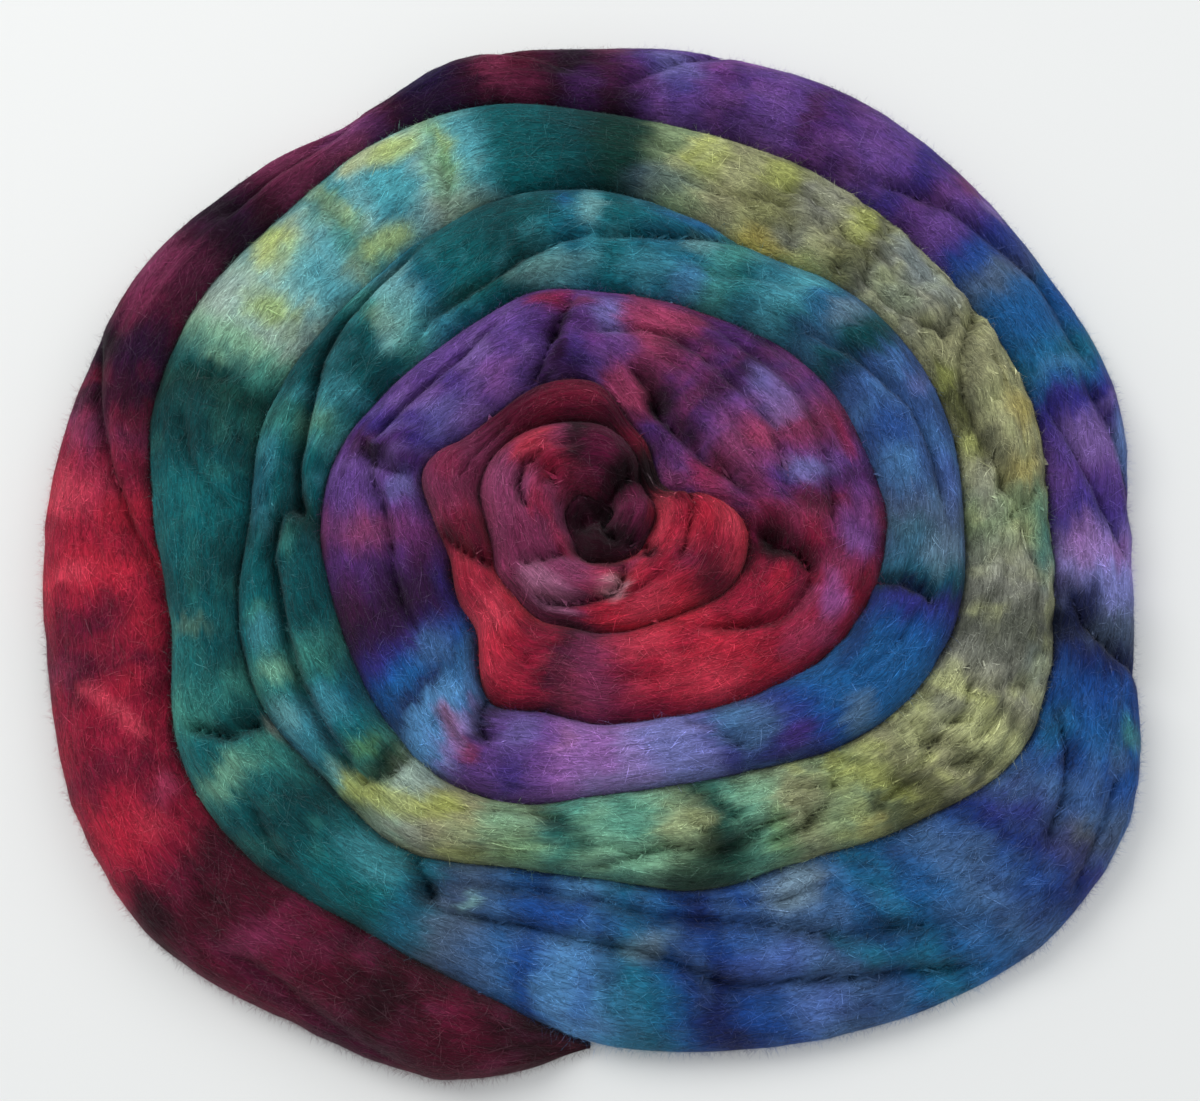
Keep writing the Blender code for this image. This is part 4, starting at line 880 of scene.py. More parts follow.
        (200, 33, 8, 6, "raspberry", 0.4), (210, 42, 9, 5, "pale_mauve", 0.6),
        (224, 40, 7, 5, "pale_mauve", 0.4), (207, 28, 7, 4, "mauve", 0.5),
        (246, 38, 8, 6, "raspberry", 0.4), (240, 27, 8, 6, "raspberry", 0.5),
        (228, 21, 8, 3, "crimson", 0.5), (262, 42, 7, 4, "mauve", 0.4),
        (256, 30, 8, 7, "raspberry", 0.5), (290, 46, 10, 4, "mauve", 0.5),
        (272, 36, 6, 4, "mauve", 0.4), (292, 28, 6, 4, "rose", 0.8),
        (280, 27, 6, 3, "crimson", 0.6), (274, 22, 6, 3, "crimson", 0.5),
        (305, 30, 4, 8, "oxblood", 0.8), (313, 42, 6, 5, "coral", 0.5),
        (322, 40, 6, 5, "coral", 0.35), (319, 30, 6, 6, "crimson", 0.6),
        (333, 38, 5, 6, "mauve", 0.4), (343, 38, 5, 8, "soot", 0.75),
        (337, 26, 6, 6, "soot", 0.7), (308, 15, 6, 4, "burgundy", 0.6),
        (440, 12.5, 8, 8, "raspberry", 0.5), (357, 30, 6, 8, "wine", 0.5),
        (388, 20, 6, 7, "soot", 0.8), (410, 13, 8, 5, "wine", 0.5),
        (450, 22, 4, 2, "crimson", 0.6), (505, 12, 10, 5, "soot", 0.5),
    ),
    7: (
        (250, 11, 6, 4, "soot", 0.6),
    ),
}

# Streaks of dye slanting across the strand, turn by turn: bearing and radius of one end and of
# the other, half-width, dye, strength.
DYE_STREAKS = {
    1: (
        (244, 205, 251, 220, 3, "coral", 0.6), (504, 226, 509, 206, 4, "sea", 0.6),
        (509, 206, 512, 194, 4, "sea", 0.6),
    ),
    2: (
        (372, 169, 377, 189, 5, "pale_lime", 0.7), (373, 172, 376, 186, 2.5, "lime", 0.6),
        (494, 168, 498, 140, 4, "lime", 0.5),
    ),
    3: (
        (209, 141, 222, 151, 4, "lime", 0.7), (183, 134, 190, 126, 4, "pine", 0.6),
        (312, 122, 321, 143, 7, "pale_aqua", 0.5), (405, 121, 428, 141, 3, "midnight", 0.35),
    ),
    4: (
        (206, 114, 216, 105, 3, "rose", 0.6), (210, 119, 212, 95, 2.5, "lilac", 0.5),
        (335, 66, 345, 74, 3, "aubergine", 0.8), (345, 74, 351, 94, 3, "aubergine", 0.8),
    ),
}

# Stretches where the dye took unevenly: bearing of each end, the dyes of the lighter and the
# darker patches and their strength.
UNEVEN = (
    (180, 226, "raspberry", "soot", 0.3),
    (228, 295, "cherry", "burgundy", 0.3),
    (360, 415, "orchid", "indigo", 0.2),
    (466, 560, "steel", "midnight", 0.5),
    (565, 655, "jade", "pine", 0.2),
    (655, 705, "pale_lime", "sea", 0.3),
    (735, 870, "pale_lime", "smoke", 0.45),
    (832, 872, "lime", "moss", 0.45),
    (862, 940, "mint", "moss", 0.35),
    (980, 1125, "aqua", "deep_teal", 0.3),
    (1135, 1175, "sky", "midnight", 0.25),
    (1350, 1430, "lilac", "indigo", 0.25),
    (1450, 1560, "rose", "plum", 0.3),
    (1560, 1700, "coral", "burgundy", 0.25),
    (1880, 1980, "coral", "burgundy", 0.3),
    (1990, 2140, "rose", "wine", 0.25),
)
UNEVEN_ENDS = 10.0         # degrees over which such a stretch begins and ends
DYE_FRONT = 4.5            # how raggedly one dye runs into the next along the fibres
RUN_BLEND = (-6.0, -3.0, 0.0, 3.0, 6.0)    # each dye is taken up this far along its neighbours
SPOT_EDGE = 1.2            # share of a spot's reach over which it fades
SPOT_RAGGED = 0.28         # how far its outline wanders, as a share of its reach
MOTTLE = 0.16              # unevenness of the dye in one place
FOLD_PAINTED_SHADE = 0.46          # painted shade: how much darker the wool is drawn deep in a fold, crease or pit
# Depth in millimetres at which that painted shade is full.
DEEP_FOLD = 8.0
NEARBY = 60.0              # degrees to each side that a spot or a streak can reach

# Noise for the raggedness of the dyes: amount, length, width and the layer of noise.
FRONT_NOISE = ((0.6, 20.0, 3.0, 6), (0.5, 8.0, 1.3, 7))
PATCH_NOISE = ((1.4, 9.0, 7.0, 1), (0.7, 4.0, 3.5, 5))
DRAWN_NOISE = ((1.5, 14.0, 6.0, 5),)
WANDER_NOISE = ((0.6, 9.0, 6.0, 3), (0.5, 4.0, 3.0, 4))
MOTTLE_NOISE = ((1.0, 7.0, 2.2, 2), (0.7, 3.5, 1.1, 0))


def unwrapped(table):
    """Rows of every turn's table as one list, with bearings that run on from turn to turn."""
    return [
        (row[0] + FULL_TURN * (turn - 1), *row[1:])
        for turn, rows in table.items() for row in rows
    ]


def stretch_near(bearing, centre):
    """The sections of the strand that one spot or streak can reach."""
    rows = np.nonzero(np.abs(bearing[:, 0] - centre) < NEARBY)[0]
    return slice(rows[0], rows[-1] + 1) if len(rows) else slice(0, 0)


def dab(colour, reach, wander, name, strength):
    """Lays one dye over a patch with a ragged edge, where reach is 1."""
    ragged = reach * (1.0 + SPOT_RAGGED * wander)
    share = strength * smooth((1.0 + SPOT_EDGE / 2 - ragged) / SPOT_EDGE)
    colour += share[..., None] * (DYES[name] - colour)


def dye_colours(bearing, radius, along, side, sunk):
    """Colour of the dyed wool at each place on the strand, with painted shade deep in its folds,
    creases and pits.
    """
    per_radian = np.maximum(radius, LEAST_RADIUS)
    ragged = DYE_FRONT * layered_noise(along, side, FRONT_NOISE)
    moved = bearing + np.degrees(ragged / per_radian)
    run = unwrapped(DYE_RUN)
    stops = np.array([row[0] for row in run], dtype=float)
    run = np.array([DYES[row[1]] for row in run])
    colour = sum(
        np.stack([np.interp(moved + np.degrees(shift / per_radian), stops, run[:, channel])
                  for channel in range(3)], axis=-1)
        for shift in RUN_BLEND
    ) / len(RUN_BLEND)

    patches = np.clip(layered_noise(along, side, PATCH_NOISE), -1.0, 1.0)
    for start, end, light, dark, strength in UNEVEN:
        begun = strength * smooth((bearing - start) / UNEVEN_ENDS)
        here = begun * smooth((end - bearing) / UNEVEN_ENDS)
        for name, share in ((light, np.maximum(patches, 0.0)), (dark, np.maximum(-patches, 0.0))):
            colour += (here * share)[..., None] * (DYES[name] - colour)

    drawn = radius + layered_noise(along, side, DRAWN_NOISE)
    wander = layered_noise(along, side, WANDER_NOISE)
    for centre, centre_radius, half_length, half_width, name, strength in unwrapped(DYE_SPOTS):
        part = stretch_near(bearing, centre)
        off_along = np.radians(moved[part] - centre) * radius[part] / half_length
        off_across = (drawn[part] - centre_radius) / half_width
        dab(colour[part], np.hypot(off_along, off_across), wander[part], name, strength)
    for turn, streaks in DYE_STREAKS.items():
        for start, start_radius, end, end_radius, half_width, name, strength in streaks:
            centre = start + FULL_TURN * (turn - 1)
            run_along = np.radians(end - start) * (start_radius + end_radius) / 2
            run_across = end_radius - start_radius
            part = stretch_near(bearing, centre)
            x = np.radians(moved[part] - centre) * radius[part]
            y = drawn[part] - start_radius
            share = (x * run_along + y * run_across) / (run_along ** 2 + run_across ** 2)
            share = np.clip(share, 0.0, 1.0)
            off = np.hypot(x - share * run_along, y - share * run_across)
            dab(colour[part], off / half_width, wander[part], name, strength)
    mottled = 1.0 + MOTTLE * layered_noise(along, side, MOTTLE_NOISE)
    # Painted shade: the colour is drawn darker the deeper the place lies in a fold, crease or pit.
    shaded = mottled * (1.0 - FOLD_PAINTED_SHADE * smooth(sunk / DEEP_FOLD))
    return colour * shaded[..., None]


# ---------------------------------------------------------------- meshes

def mesh_object(name, points, quads, colours, material):
    """A mesh object in metres from points in millimetres, with its dye, painted fold shade
    included, on every point.
    """
    mesh = bpy.data.meshes.new(name)
    mesh.vertices.add(len(points))
    mesh.vertices.foreach_set("co", (points * MM).astype(np.float32).ravel())
    mesh.loops.add(quads.size)
    mesh.loops.foreach_set("vertex_index", quads.astype(np.int32).ravel())
    mesh.polygons.add(len(quads))
    mesh.polygons.foreach_set(
        "loop_start", np.arange(0, quads.size, quads.shape[1], dtype=np.int32))
    mesh.update(calc_edges=True)
    mesh.shade_smooth()
    mesh.materials.append(material)
    made = bpy.data.objects.new(name, mesh)
    bpy.context.scene.collection.objects.link(made)
    mark(made, "dye", "FLOAT_COLOR", np.append(colours, np.ones((len(colours), 1)), axis=1))
    return made


def mark(made, name, kind, values):
    """Gives every point of a mesh a named value."""
    attribute = made.data.attributes.new(name, kind, "POINT")
    field = {"FLOAT": "value", "FLOAT_VECTOR": "vector", "FLOAT_COLOR": "color"}[kind]
    attribute.data.foreach_set(field, np.asarray(values, dtype=np.float32).ravel())


def strand_body(surface, colours, material):
    """The whole strand as one closed, lofted body, marked for the fibres that grow on it."""
    rows, columns = surface.points.shape[:2]
    index = np.arange(rows * columns).reshape(rows, columns)
    following = np.roll(index, -1, axis=1)
    quads = np.stack((index[:-1], index[1:], following[1:], following[:-1]), axis=-1)
    quads = quads.reshape(-1, 4)
    points = surface.points.reshape(-1, 3)
    ends = []
    caps = []
    for row, turned in ((0, False), (rows - 1, True)):
        centre = surface.points[row].mean(axis=0)
        ends.append(centre)
        middle = len(points) + len(ends) - 1
        for j in range(0, columns, 2):
            a, b, c = index[row, j], index[row, (j + 1) % columns], index[row, (j + 2) % columns]
            caps.append((middle, c, b, a) if turned else (middle, a, b, c))
    points = np.concatenate((points, np.array(ends)))
    quads = np.concatenate((quads, np.array(caps)))
    end_colours = colours[[0, -1], 0]
    flat = np.concatenate((colours.reshape(-1, 3), end_colours))
    body = mesh_object("combed_strand", points, quads, flat, material)
    none = np.zeros(len(ends))
    for name, thickness in (
            ("cover", surface.cover), ("rim", surface.rim), ("outline", surface.outline)):
        mark(body, name, "FLOAT", np.append(thickness.ravel(), none))
    end_flow = np.array([[1.0, 0.0, 0.0]] * len(ends))
    mark(body, "flow", "FLOAT_VECTOR", np.concatenate((surface.flow.reshape(-1, 3), end_flow)))
    lay = body.data.uv_layers.new(name="lay")
    along = np.repeat(surface.along[:, None], columns, axis=1).ravel()
    girth = np.repeat(surface.girth[None, :], rows, axis=0).ravel()
    along = np.append(along, [0.0, surface.length])
    flat_uv = np.stack((along, np.append(girth, [0.0, 0.0])), axis=1)
    lay.data.foreach_set("uv", (flat_uv[quads.ravel()] * MM).astype(np.float32).ravel())
    return body


MATHS, VECTOR_MATHS = "ShaderNodeMath", "ShaderNodeVectorMath"
ADD = {"operation": "ADD"}
SUBTRACT = {"operation": "SUBTRACT"}
MULTIPLY = {"operation": "MULTIPLY"}
MULTIPLY_ADD = {"operation": "MULTIPLY_ADD"}
DIVIDE = {"operation": "DIVIDE"}
MINIMUM = {"operation": "MINIMUM"}
MAXIMUM = {"operation": "MAXIMUM"}
POWER = {"operation": "POWER"}
SINE = {"operation": "SINE"}
SCALE = {"operation": "SCALE"}
NUMBER = {"data_type": "FLOAT"}
DIRECTION = {"data_type": "FLOAT_VECTOR"}
COLOUR = {"data_type": "FLOAT_COLOR"}
ON_POINTS = {"domain": "POINT"}
MARK, READ_MARK = "GeometryNodeStoreNamedAttribute", "GeometryNodeInputNamedAttribute"


def add_node(tree, kind, settings=None, inputs=None):
    """Adds one node. An input is a plain value, the socket that feeds it, or the node whose
    first output does."""
    made = tree.nodes.new(kind)
    for name, value in (settings or {}).items():
        setattr(made, name, value)
    for name, value in (inputs or {}).items():
        if isinstance(value, bpy.types.Node):
            value = value.outputs[0]
        if isinstance(value, bpy.types.NodeSocket):
            tree.links.new(value, made.inputs[name])
        else:
            made.inputs[name].default_value = value
    return made


# ---------------------------------------------------------------- loose fibres

LONGEST_LEAP = 1.3 * MM    # a laid fibre is cut where it would cross a wider gap than this

FIBRE_INPUTS = (
    ("Strand", "NodeSocketGeometry"),
    ("Fibres per Square Metre", "NodeSocketFloat"),
    ("Length", "NodeSocketFloat"),
    ("Width", "NodeSocketFloat"),
    ("Steps", "NodeSocketInt"),
    ("Lift", "NodeSocketFloat"),
    ("Stray", "NodeSocketFloat"),
    ("Rise", "NodeSocketFloat"),
    ("Crimp", "NodeSocketFloat"),
    ("Crimp Spacing", "NodeSocketFloat"),
    ("Lightest", "NodeSocketFloat"),
    ("Darkest", "NodeSocketFloat"),
    ("Own Dye", "NodeSocketFloat"),
    ("Painted Highlight", "NodeSocketFloat"),
    ("Seed", "NodeSocketInt"),
    ("Wool", "NodeSocketMaterial"),
)

# What is drawn by lot for each fibre, with the least and the most. Its place in the list, added
# to the seed, keeps one lot apart from the next.
LOTS = (
    ("aside", -0.5, 0.5), ("aside again", -0.5, 0.5), ("rise", -1.0, -0.2), ("roll", -1.5, 1.5),
    ("length", 0.0, 1.0), ("width", 0.6, 1.4), ("own", 0.0, 1.0), ("shade", None, None),
)
TIP_WIDTH = 0.15           # of a fibre's tip, as a share of its middle
TIP_TAPER = 4.0            # how fast a fibre widens from its tip
SHORTEST = 0.4             # share of the length asked for
LENGTH_SPREAD = 1.8        # the longest are longer than that by this share of it
MOSTLY_SHORT = 2.5         # higher gives more short fibres and fewer long ones
OWN_PLACE = (500.0, 900.0, 0.0)    # how far apart two fibres are in the noise that crimps them
ENDS_LIFTED = 0.2          # share of its lift at the ends of a laid fibre
PAINTED_HIGHLIGHT_TINT = (0.9, 0.95, 1.0)      # painted highlight: tint of the light that thin fibres catch, added over their dye


def fibre_tree(name, where, laid):
    """A tree that grows fibres on a strand. Laid fibres follow the flow and hug the surface;
    the others start on it and stand off at all angles."""
    tree = bpy.data.node_groups.new(name, "GeometryNodeTree")
    for label, kind in FIBRE_INPUTS:
        tree.interface.new_socket(label, in_out="INPUT", socket_type=kind)
    tree.interface.new_socket("Fibres", in_out="OUTPUT", socket_type="NodeSocketGeometry")
    given = add_node(tree, "NodeGroupInput").outputs
    lot = {}
    for number, (what, least, most) in enumerate(LOTS, start=1):
        seed = add_node(tree, MATHS, ADD, {0: given["Seed"], 1: number})
        drawn = add_node(tree, "FunctionNodeRandomValue", NUMBER, {
            2: given["Darkest"] if least is None else least,
            3: given["Lightest"] if most is None else most, "Seed": seed})
        lot[what] = drawn.outputs[1]

    # One fibre: a strip from 0 to 1 along X, one unit wide and narrowing to both ends.
    strip = add_node(tree, "GeometryNodeMeshGrid", inputs={
        "Size X": 1.0, "Size Y": 1.0, "Vertices X": given["Steps"], "Vertices Y": 2})
    place = add_node(tree, "GeometryNodeInputPosition")
    parts = add_node(tree, "ShaderNodeSeparateXYZ", inputs={"Vector": place})
    along = add_node(tree, MATHS, ADD, {0: parts.outputs["X"], 1: 0.5})
    fibre = add_node(tree, MARK, NUMBER | ON_POINTS, {
        "Geometry": strip, "Name": "share", "Value": along})
    to_far_end = add_node(tree, MATHS, SUBTRACT, {0: 1.0, 1: along})
    to_nearest_end = add_node(tree, MATHS, MINIMUM, {0: along, 1: to_far_end})
    tapered = add_node(tree, MATHS, MULTIPLY_ADD, {
        0: to_nearest_end, 1: TIP_TAPER, 2: TIP_WIDTH})
    narrowed = add_node(tree, MATHS, MINIMUM, {0: tapered, 1: 1.0})
    shaped = add_node(tree, "ShaderNodeCombineXYZ", inputs={
        "X": parts.outputs["X"] if laid else along,
        "Y": add_node(tree, MATHS, MULTIPLY, {0: parts.outputs["Y"], 1: narrowed})})
    fibre = add_node(tree, "GeometryNodeSetPosition", inputs={
        "Geometry": fibre, "Position": shaped})

    # Where the fibres start, and which way they point.
    thickly = add_node(tree, READ_MARK, NUMBER, {"Name": where})
    density = add_node(tree, MATHS, MULTIPLY, {0: thickly, 1: given["Fibres per Square Metre"]})
    spread = add_node(tree, "GeometryNodeDistributePointsOnFaces", inputs={
        "Mesh": given["Strand"], "Density": density, "Seed": given["Seed"]})
    upright = add_node(tree, "FunctionNodeAlignRotationToVector", {"axis": "Z"}, {
        "Vector": spread.outputs["Normal"]})
    flow = add_node(tree, READ_MARK, DIRECTION, {"Name": "flow"})
    lean = add_node(tree, "FunctionNodeAlignRotationToVector", {"axis": "X", "pivot_axis": "Z"}, {
        "Rotation": upright, "Vector": flow})
    sideways = add_node(tree, MATHS, ADD, {0: lot["aside"], 1: lot["aside again"]})
    strayed = add_node(tree, MATHS, MULTIPLY, {0: given["Stray"], 1: sideways})
    turns = [((0.0, 0.0, 1.0), strayed)]
    if not laid:
        lifted = add_node(tree, MATHS, MULTIPLY, {0: given["Rise"], 1: lot["rise"]})
        turns += [((0.0, 1.0, 0.0), lifted), ((1.0, 0.0, 0.0), lot["roll"])]
    for axis, angle in turns:
        turn = add_node(tree, "FunctionNodeAxisAngleToRotation", inputs={
            "Axis": axis, "Angle": angle})
        lean = add_node(tree, "FunctionNodeRotateRotation", {"rotation_space": "LOCAL"}, {
            "Rotation": lean, "Rotate By": turn})
    drawn_length = add_node(tree, MATHS, POWER, {0: lot["length"], 1: MOSTLY_SHORT})
    longer = add_node(tree, MATHS, MULTIPLY_ADD, {0: drawn_length, 1: LENGTH_SPREAD, 2: SHORTEST})
    size = add_node(tree, "ShaderNodeCombineXYZ", inputs={
        "X": add_node(tree, MATHS, MULTIPLY, {0: given["Length"], 1: longer}),
        "Y": add_node(tree, MATHS, MULTIPLY, {0: given["Width"], 1: lot["width"]}),
        "Z": 1.0})
    points = spread.outputs["Points"]
    for mark_name in ("own", "shade"):
        points = add_node(tree, MARK, NUMBER | ON_POINTS, {
            "Geometry": points, "Name": mark_name, "Value": lot[mark_name]})
    planted = add_node(tree, "GeometryNodeInstanceOnPoints", inputs={
        "Points": points, "Instance": fibre, "Rotation": lean, "Scale": size})
    grown = add_node(tree, "GeometryNodeRealizeInstances", inputs={"Geometry": planted})

    # The natural crimp of wool: each fibre wanders by its own smooth noise.
    own, share, shade = [
        add_node(tree, READ_MARK, NUMBER, {"Name": label}) for label in ("own", "share", "shade")]
    per_crimp = add_node(tree, MATHS, DIVIDE, {0: 1.0, 1: given["Crimp Spacing"]})
    apart = add_node(tree, VECTOR_MATHS, SCALE, {0: place, "Scale": per_crimp})
    own_place = add_node(tree, VECTOR_MATHS, SCALE, {0: OWN_PLACE, "Scale": own})
    crimp_place = add_node(tree, VECTOR_MATHS, ADD, {0: apart, 1: own_place})
    wander = add_node(tree, "ShaderNodeTexNoise", inputs={
        "Vector": crimp_place, "Scale": 1.0, "Detail": 1.0})
    centred = add_node(tree, VECTOR_MATHS, SUBTRACT, {
        0: wander.outputs["Color"], 1: (0.5, 0.5, 0.5)})
    reach = given["Crimp"]
    if not laid:
        reach = add_node(tree, MATHS, MULTIPLY, {0: reach, 1: share})
    bent = add_node(tree, VECTOR_MATHS, SCALE, {0: centred, "Scale": reach})
    crimped = add_node(tree, VECTOR_MATHS, ADD, {0: place, 1: bent})

    if laid:
        # A laid fibre hugs the strand, a little arched, and is cut where it would leap a gap.
        hug = add_node(tree, "GeometryNodeProximity", {"target_element": "FACES"}, {
            0: given["Strand"], "Sample Position": crimped})
        facing = add_node(tree, "GeometryNodeInputNormal")
        up = add_node(tree, "GeometryNodeSampleNearestSurface", DIRECTION, {
            "Mesh": given["Strand"], "Value": facing, "Sample Position": crimped})
        half_turn = add_node(tree, MATHS, MULTIPLY, {0: share, 1: math.pi})
        arch = add_node(tree, MATHS, SINE, {0: half_turn})
        own_lift = add_node(tree, MATHS, MULTIPLY, {0: given["Lift"], 1: own})
        arched = add_node(tree, MATHS, MULTIPLY_ADD, {
            0: arch, 1: 1.0 - ENDS_LIFTED, 2: ENDS_LIFTED})
        height = add_node(tree, MATHS, MULTIPLY, {0: own_lift, 1: arched})
        raised = add_node(tree, VECTOR_MATHS, SCALE, {0: up, "Scale": height})
        finished = add_node(tree, VECTOR_MATHS, ADD, {0: hug, 1: raised})
        leap = add_node(tree, "FunctionNodeCompare", NUMBER | {"operation": "GREATER_THAN"}, {
            "A": hug.outputs["Distance"], "B": LONGEST_LEAP})
        grown = add_node(tree, "GeometryNodeDeleteGeometry", {"domain": "FACE"}, {
            "Geometry": grown, "Selection": leap})
    else:
        split = add_node(tree, "ShaderNodeSeparateXYZ", inputs={"Vector": crimped})
        finished = add_node(tree, "ShaderNodeCombineXYZ", inputs={
            "X": split.outputs["X"], "Y": split.outputs["Y"],
            "Z": add_node(tree, MATHS, MAXIMUM, {0: split.outputs["Z"], 1: given["Lift"]})})
    grown = add_node(tree, "GeometryNodeSetPosition", inputs={
        "Geometry": grown, "Position": finished})

    # Each fibre is dyed partly as at its own root and partly as the wool it lies over, painted fold
    # shade included, then made lighter or darker by its own lot and given a painted highlight.
    root_dye = add_node(tree, READ_MARK, COLOUR, {"Name": "dye"})
    under = add_node(tree, "GeometryNodeSampleNearestSurface", COLOUR, {
        "Mesh": given["Strand"], "Value": root_dye, "Sample Position": place})
    rest = add_node(tree, MATHS, SUBTRACT, {0: 1.0, 1: given["Own Dye"]})
    local = add_node(tree, VECTOR_MATHS, SCALE, {0: under, "Scale": rest})
    kept = add_node(tree, VECTOR_MATHS, SCALE, {0: root_dye, "Scale": given["Own Dye"]})
    mixed = add_node(tree, VECTOR_MATHS, ADD, {0: local, 1: kept})
    # Painted highlight: a pale tint added to each fibre, more to some than others, for the light
    # that thin fibres catch.
    painted_highlight_share = add_node(tree, MATHS, MULTIPLY, {0: given["Painted Highlight"], 1: own})
    painted_highlight = add_node(tree, VECTOR_MATHS, SCALE, {0: PAINTED_HIGHLIGHT_TINT, "Scale": painted_highlight_share})
    shaded = add_node(tree, VECTOR_MATHS, SCALE, {0: mixed, "Scale": shade})
    tinted = add_node(tree, VECTOR_MATHS, ADD, {0: shaded, 1: painted_highlight})
    grown = add_node(tree, MARK, COLOUR | ON_POINTS, {
        "Geometry": grown, "Name": "dye", "Value": tinted})
    smoothed = add_node(tree, "GeometryNodeSetShadeSmooth", inputs={"Geometry": grown})
    finish = add_node(tree, "GeometryNodeSetMaterial", inputs={
        "Geometry": smoothed, "Material": given["Wool"]})
    add_node(tree, "NodeGroupOutput", inputs={"Fibres": finish})
    return tree


SPARE_MARKS = ("flow", "cover", "rim", "outline", "own", "share", "shade", "lay")


def grow_fibres(name, strand, tree, sizes):
    """Grows one batch of fibres on the strand and keeps it as a plain mesh."""
    made = bpy.data.objects.new(name, strand.data)
    bpy.context.scene.collection.objects.link(made)
    growth = made.modifiers.new("growth", "NODES")
    growth.node_group = tree
    for item in tree.interface.items_tree:
        if item.in_out == "INPUT" and item.name in sizes:
            growth[item.identifier] = sizes[item.name]
    depsgraph = bpy.context.evaluated_depsgraph_get()
    mesh = bpy.data.meshes.new_from_object(
        made.evaluated_get(depsgraph), preserve_all_data_layers=True, depsgraph=depsgraph)
    made.modifiers.clear()
    made.data = mesh
    for spare in [a.name for a in mesh.attributes if a.name in SPARE_MARKS]:
        mesh.attributes.remove(mesh.attributes[spare])
    return made


# ---------------------------------------------------------------- finishes

STREAK_LENGTH, STREAK_WIDTH = 6 * MM, 0.9 * MM   # far coarser than fibres, so that they show
STREAK_DEPTH = 0.8 * MM
DYE_GRAIN = 1.2 * MM       # of the dye along single fibres, drawn coarser than it is


def wool_shader(name, roughness, sheen):
    """A new material with dull dyed wool on its shader, and its tree and shader node."""
    material = bpy.data.materials.new(name)
    material.use_nodes = True
    tree = material.node_tree
    shader = tree.nodes["Principled BSDF"]
    shader.inputs["Roughness"].default_value = roughness
    shader.inputs["Specular IOR Level"].default_value = 0.12
    shader.inputs["Sheen Weight"].default_value = sheen
    shader.inputs["Sheen Roughness"].default_value = 0.45
    return material, tree, shader


def dye_over(tree, shader, pattern, darkest, lightest):
    """Gives a shader the dye marked on the wool, made darker and lighter by a noise pattern. The
    mark carries the painted fold shade, and on loose fibres a painted highlight too.
    """
    shade = add_node(tree, "ShaderNodeMapRange", inputs={
        "Value": pattern, "From Min": 0.3, "From Max": 0.7, "To Min": darkest, "To Max": lightest})
    dye = add_node(tree, "ShaderNodeAttribute", {"attribute_name": "dye"})
    tinted = add_node(tree, VECTOR_MATHS, SCALE, {"Vector": dye, "Scale": shade})
    tree.links.new(tinted.outputs["Vector"], shader.inputs["Base Color"])


def combed_wool():
    """Combed merino top under its loose fibres: dull, with fine parallel streaks of dye, and drawn
    darker on the whole than the fibres over it as painted shade under them.
    """
    material, tree, shader = wool_shader("dyed_combed_wool", 0.9, 0.05)
    lay = add_node(tree, "ShaderNodeUVMap", {"uv_map": "lay"})
    streak_place = add_node(tree, "ShaderNodeMapping", inputs={
        "Vector": lay, "Scale": (1 / STREAK_LENGTH, 1 / STREAK_WIDTH, 1.0)})
    streaks = add_node(tree, "ShaderNodeTexNoise", {"noise_dimensions": "2D"}, {
        "Vector": streak_place, "Scale": 1.0, "Detail": 3.0, "Roughness": 0.65,
        "Distortion": 1.1})
    # Streaks of dye, and painted shade: the body comes out darker on the whole than the loose
    # fibres over it.
    dye_over(tree, shader, streaks, 0.45, 1.15)
    bump = add_node(tree, "ShaderNodeBump", inputs={
        "Strength": 1.0, "Distance": STREAK_DEPTH, "Height": streaks})
    tree.links.new(bump.outputs["Normal"], shader.inputs["Normal"])
    return material


def loose_wool(name, sheen):
    """Single wool fibres: each takes the dye where it lies, a little uneven along its length."""
    material, tree, shader = wool_shader(name, 0.75, sheen)
    place = add_node(tree, "ShaderNodeTexCoord")
    uneven = add_node(tree, "ShaderNodeTexNoise", inputs={
        "Vector": place.outputs["Object"], "Scale": 1 / DYE_GRAIN, "Detail": 2.0,
        "Roughness": 0.75})
    dye_over(tree, shader, uneven, 0.45, 1.5)
    return material


def pale_table():
    """A plain matt white table top."""
    material = bpy.data.materials.new("pale_table")
    material.use_nodes = True
    shader = material.node_tree.nodes["Principled BSDF"]
    shader.inputs["Base Color"].default_value = (*linear("#E9EAE8"), 1.0)
    shader.inputs["Roughness"].default_value = 0.8
    return material


# ---------------------------------------------------------------- the scene around it

CAMERA_ELEVATION = 74.0    # degrees above the table
CAMERA_DISTANCE = 545.0
CAMERA_VIEW_WIDTH = 50.0   # degrees from side to side
SENSOR = 36.0              # width in millimetres
AIM_BELOW_MIDDLE = 14.0    # the camera aims this much nearer than the spiral's middle
AIM_HEIGHT = 12.0

LAMPS = (                  # name, place in metres, size, watts, colour
    ("window", (-1.9, 1.6, 2.5), 1.9, 58.0, (1.0, 0.99, 0.98)),
    ("far_corner_fill", (1.9, 1.2, 2.0), 1.9, 14.0, (0.98, 0.99, 1.0)),
)
ROOM_COLOUR, ROOM_STRENGTH = (0.95, 0.97, 1.0, 1.0), 0.67
TABLE_SIZE = 6.0           # in metres
TABLE_BELOW = 0.2 * MM     # the table top lies this far under the wool


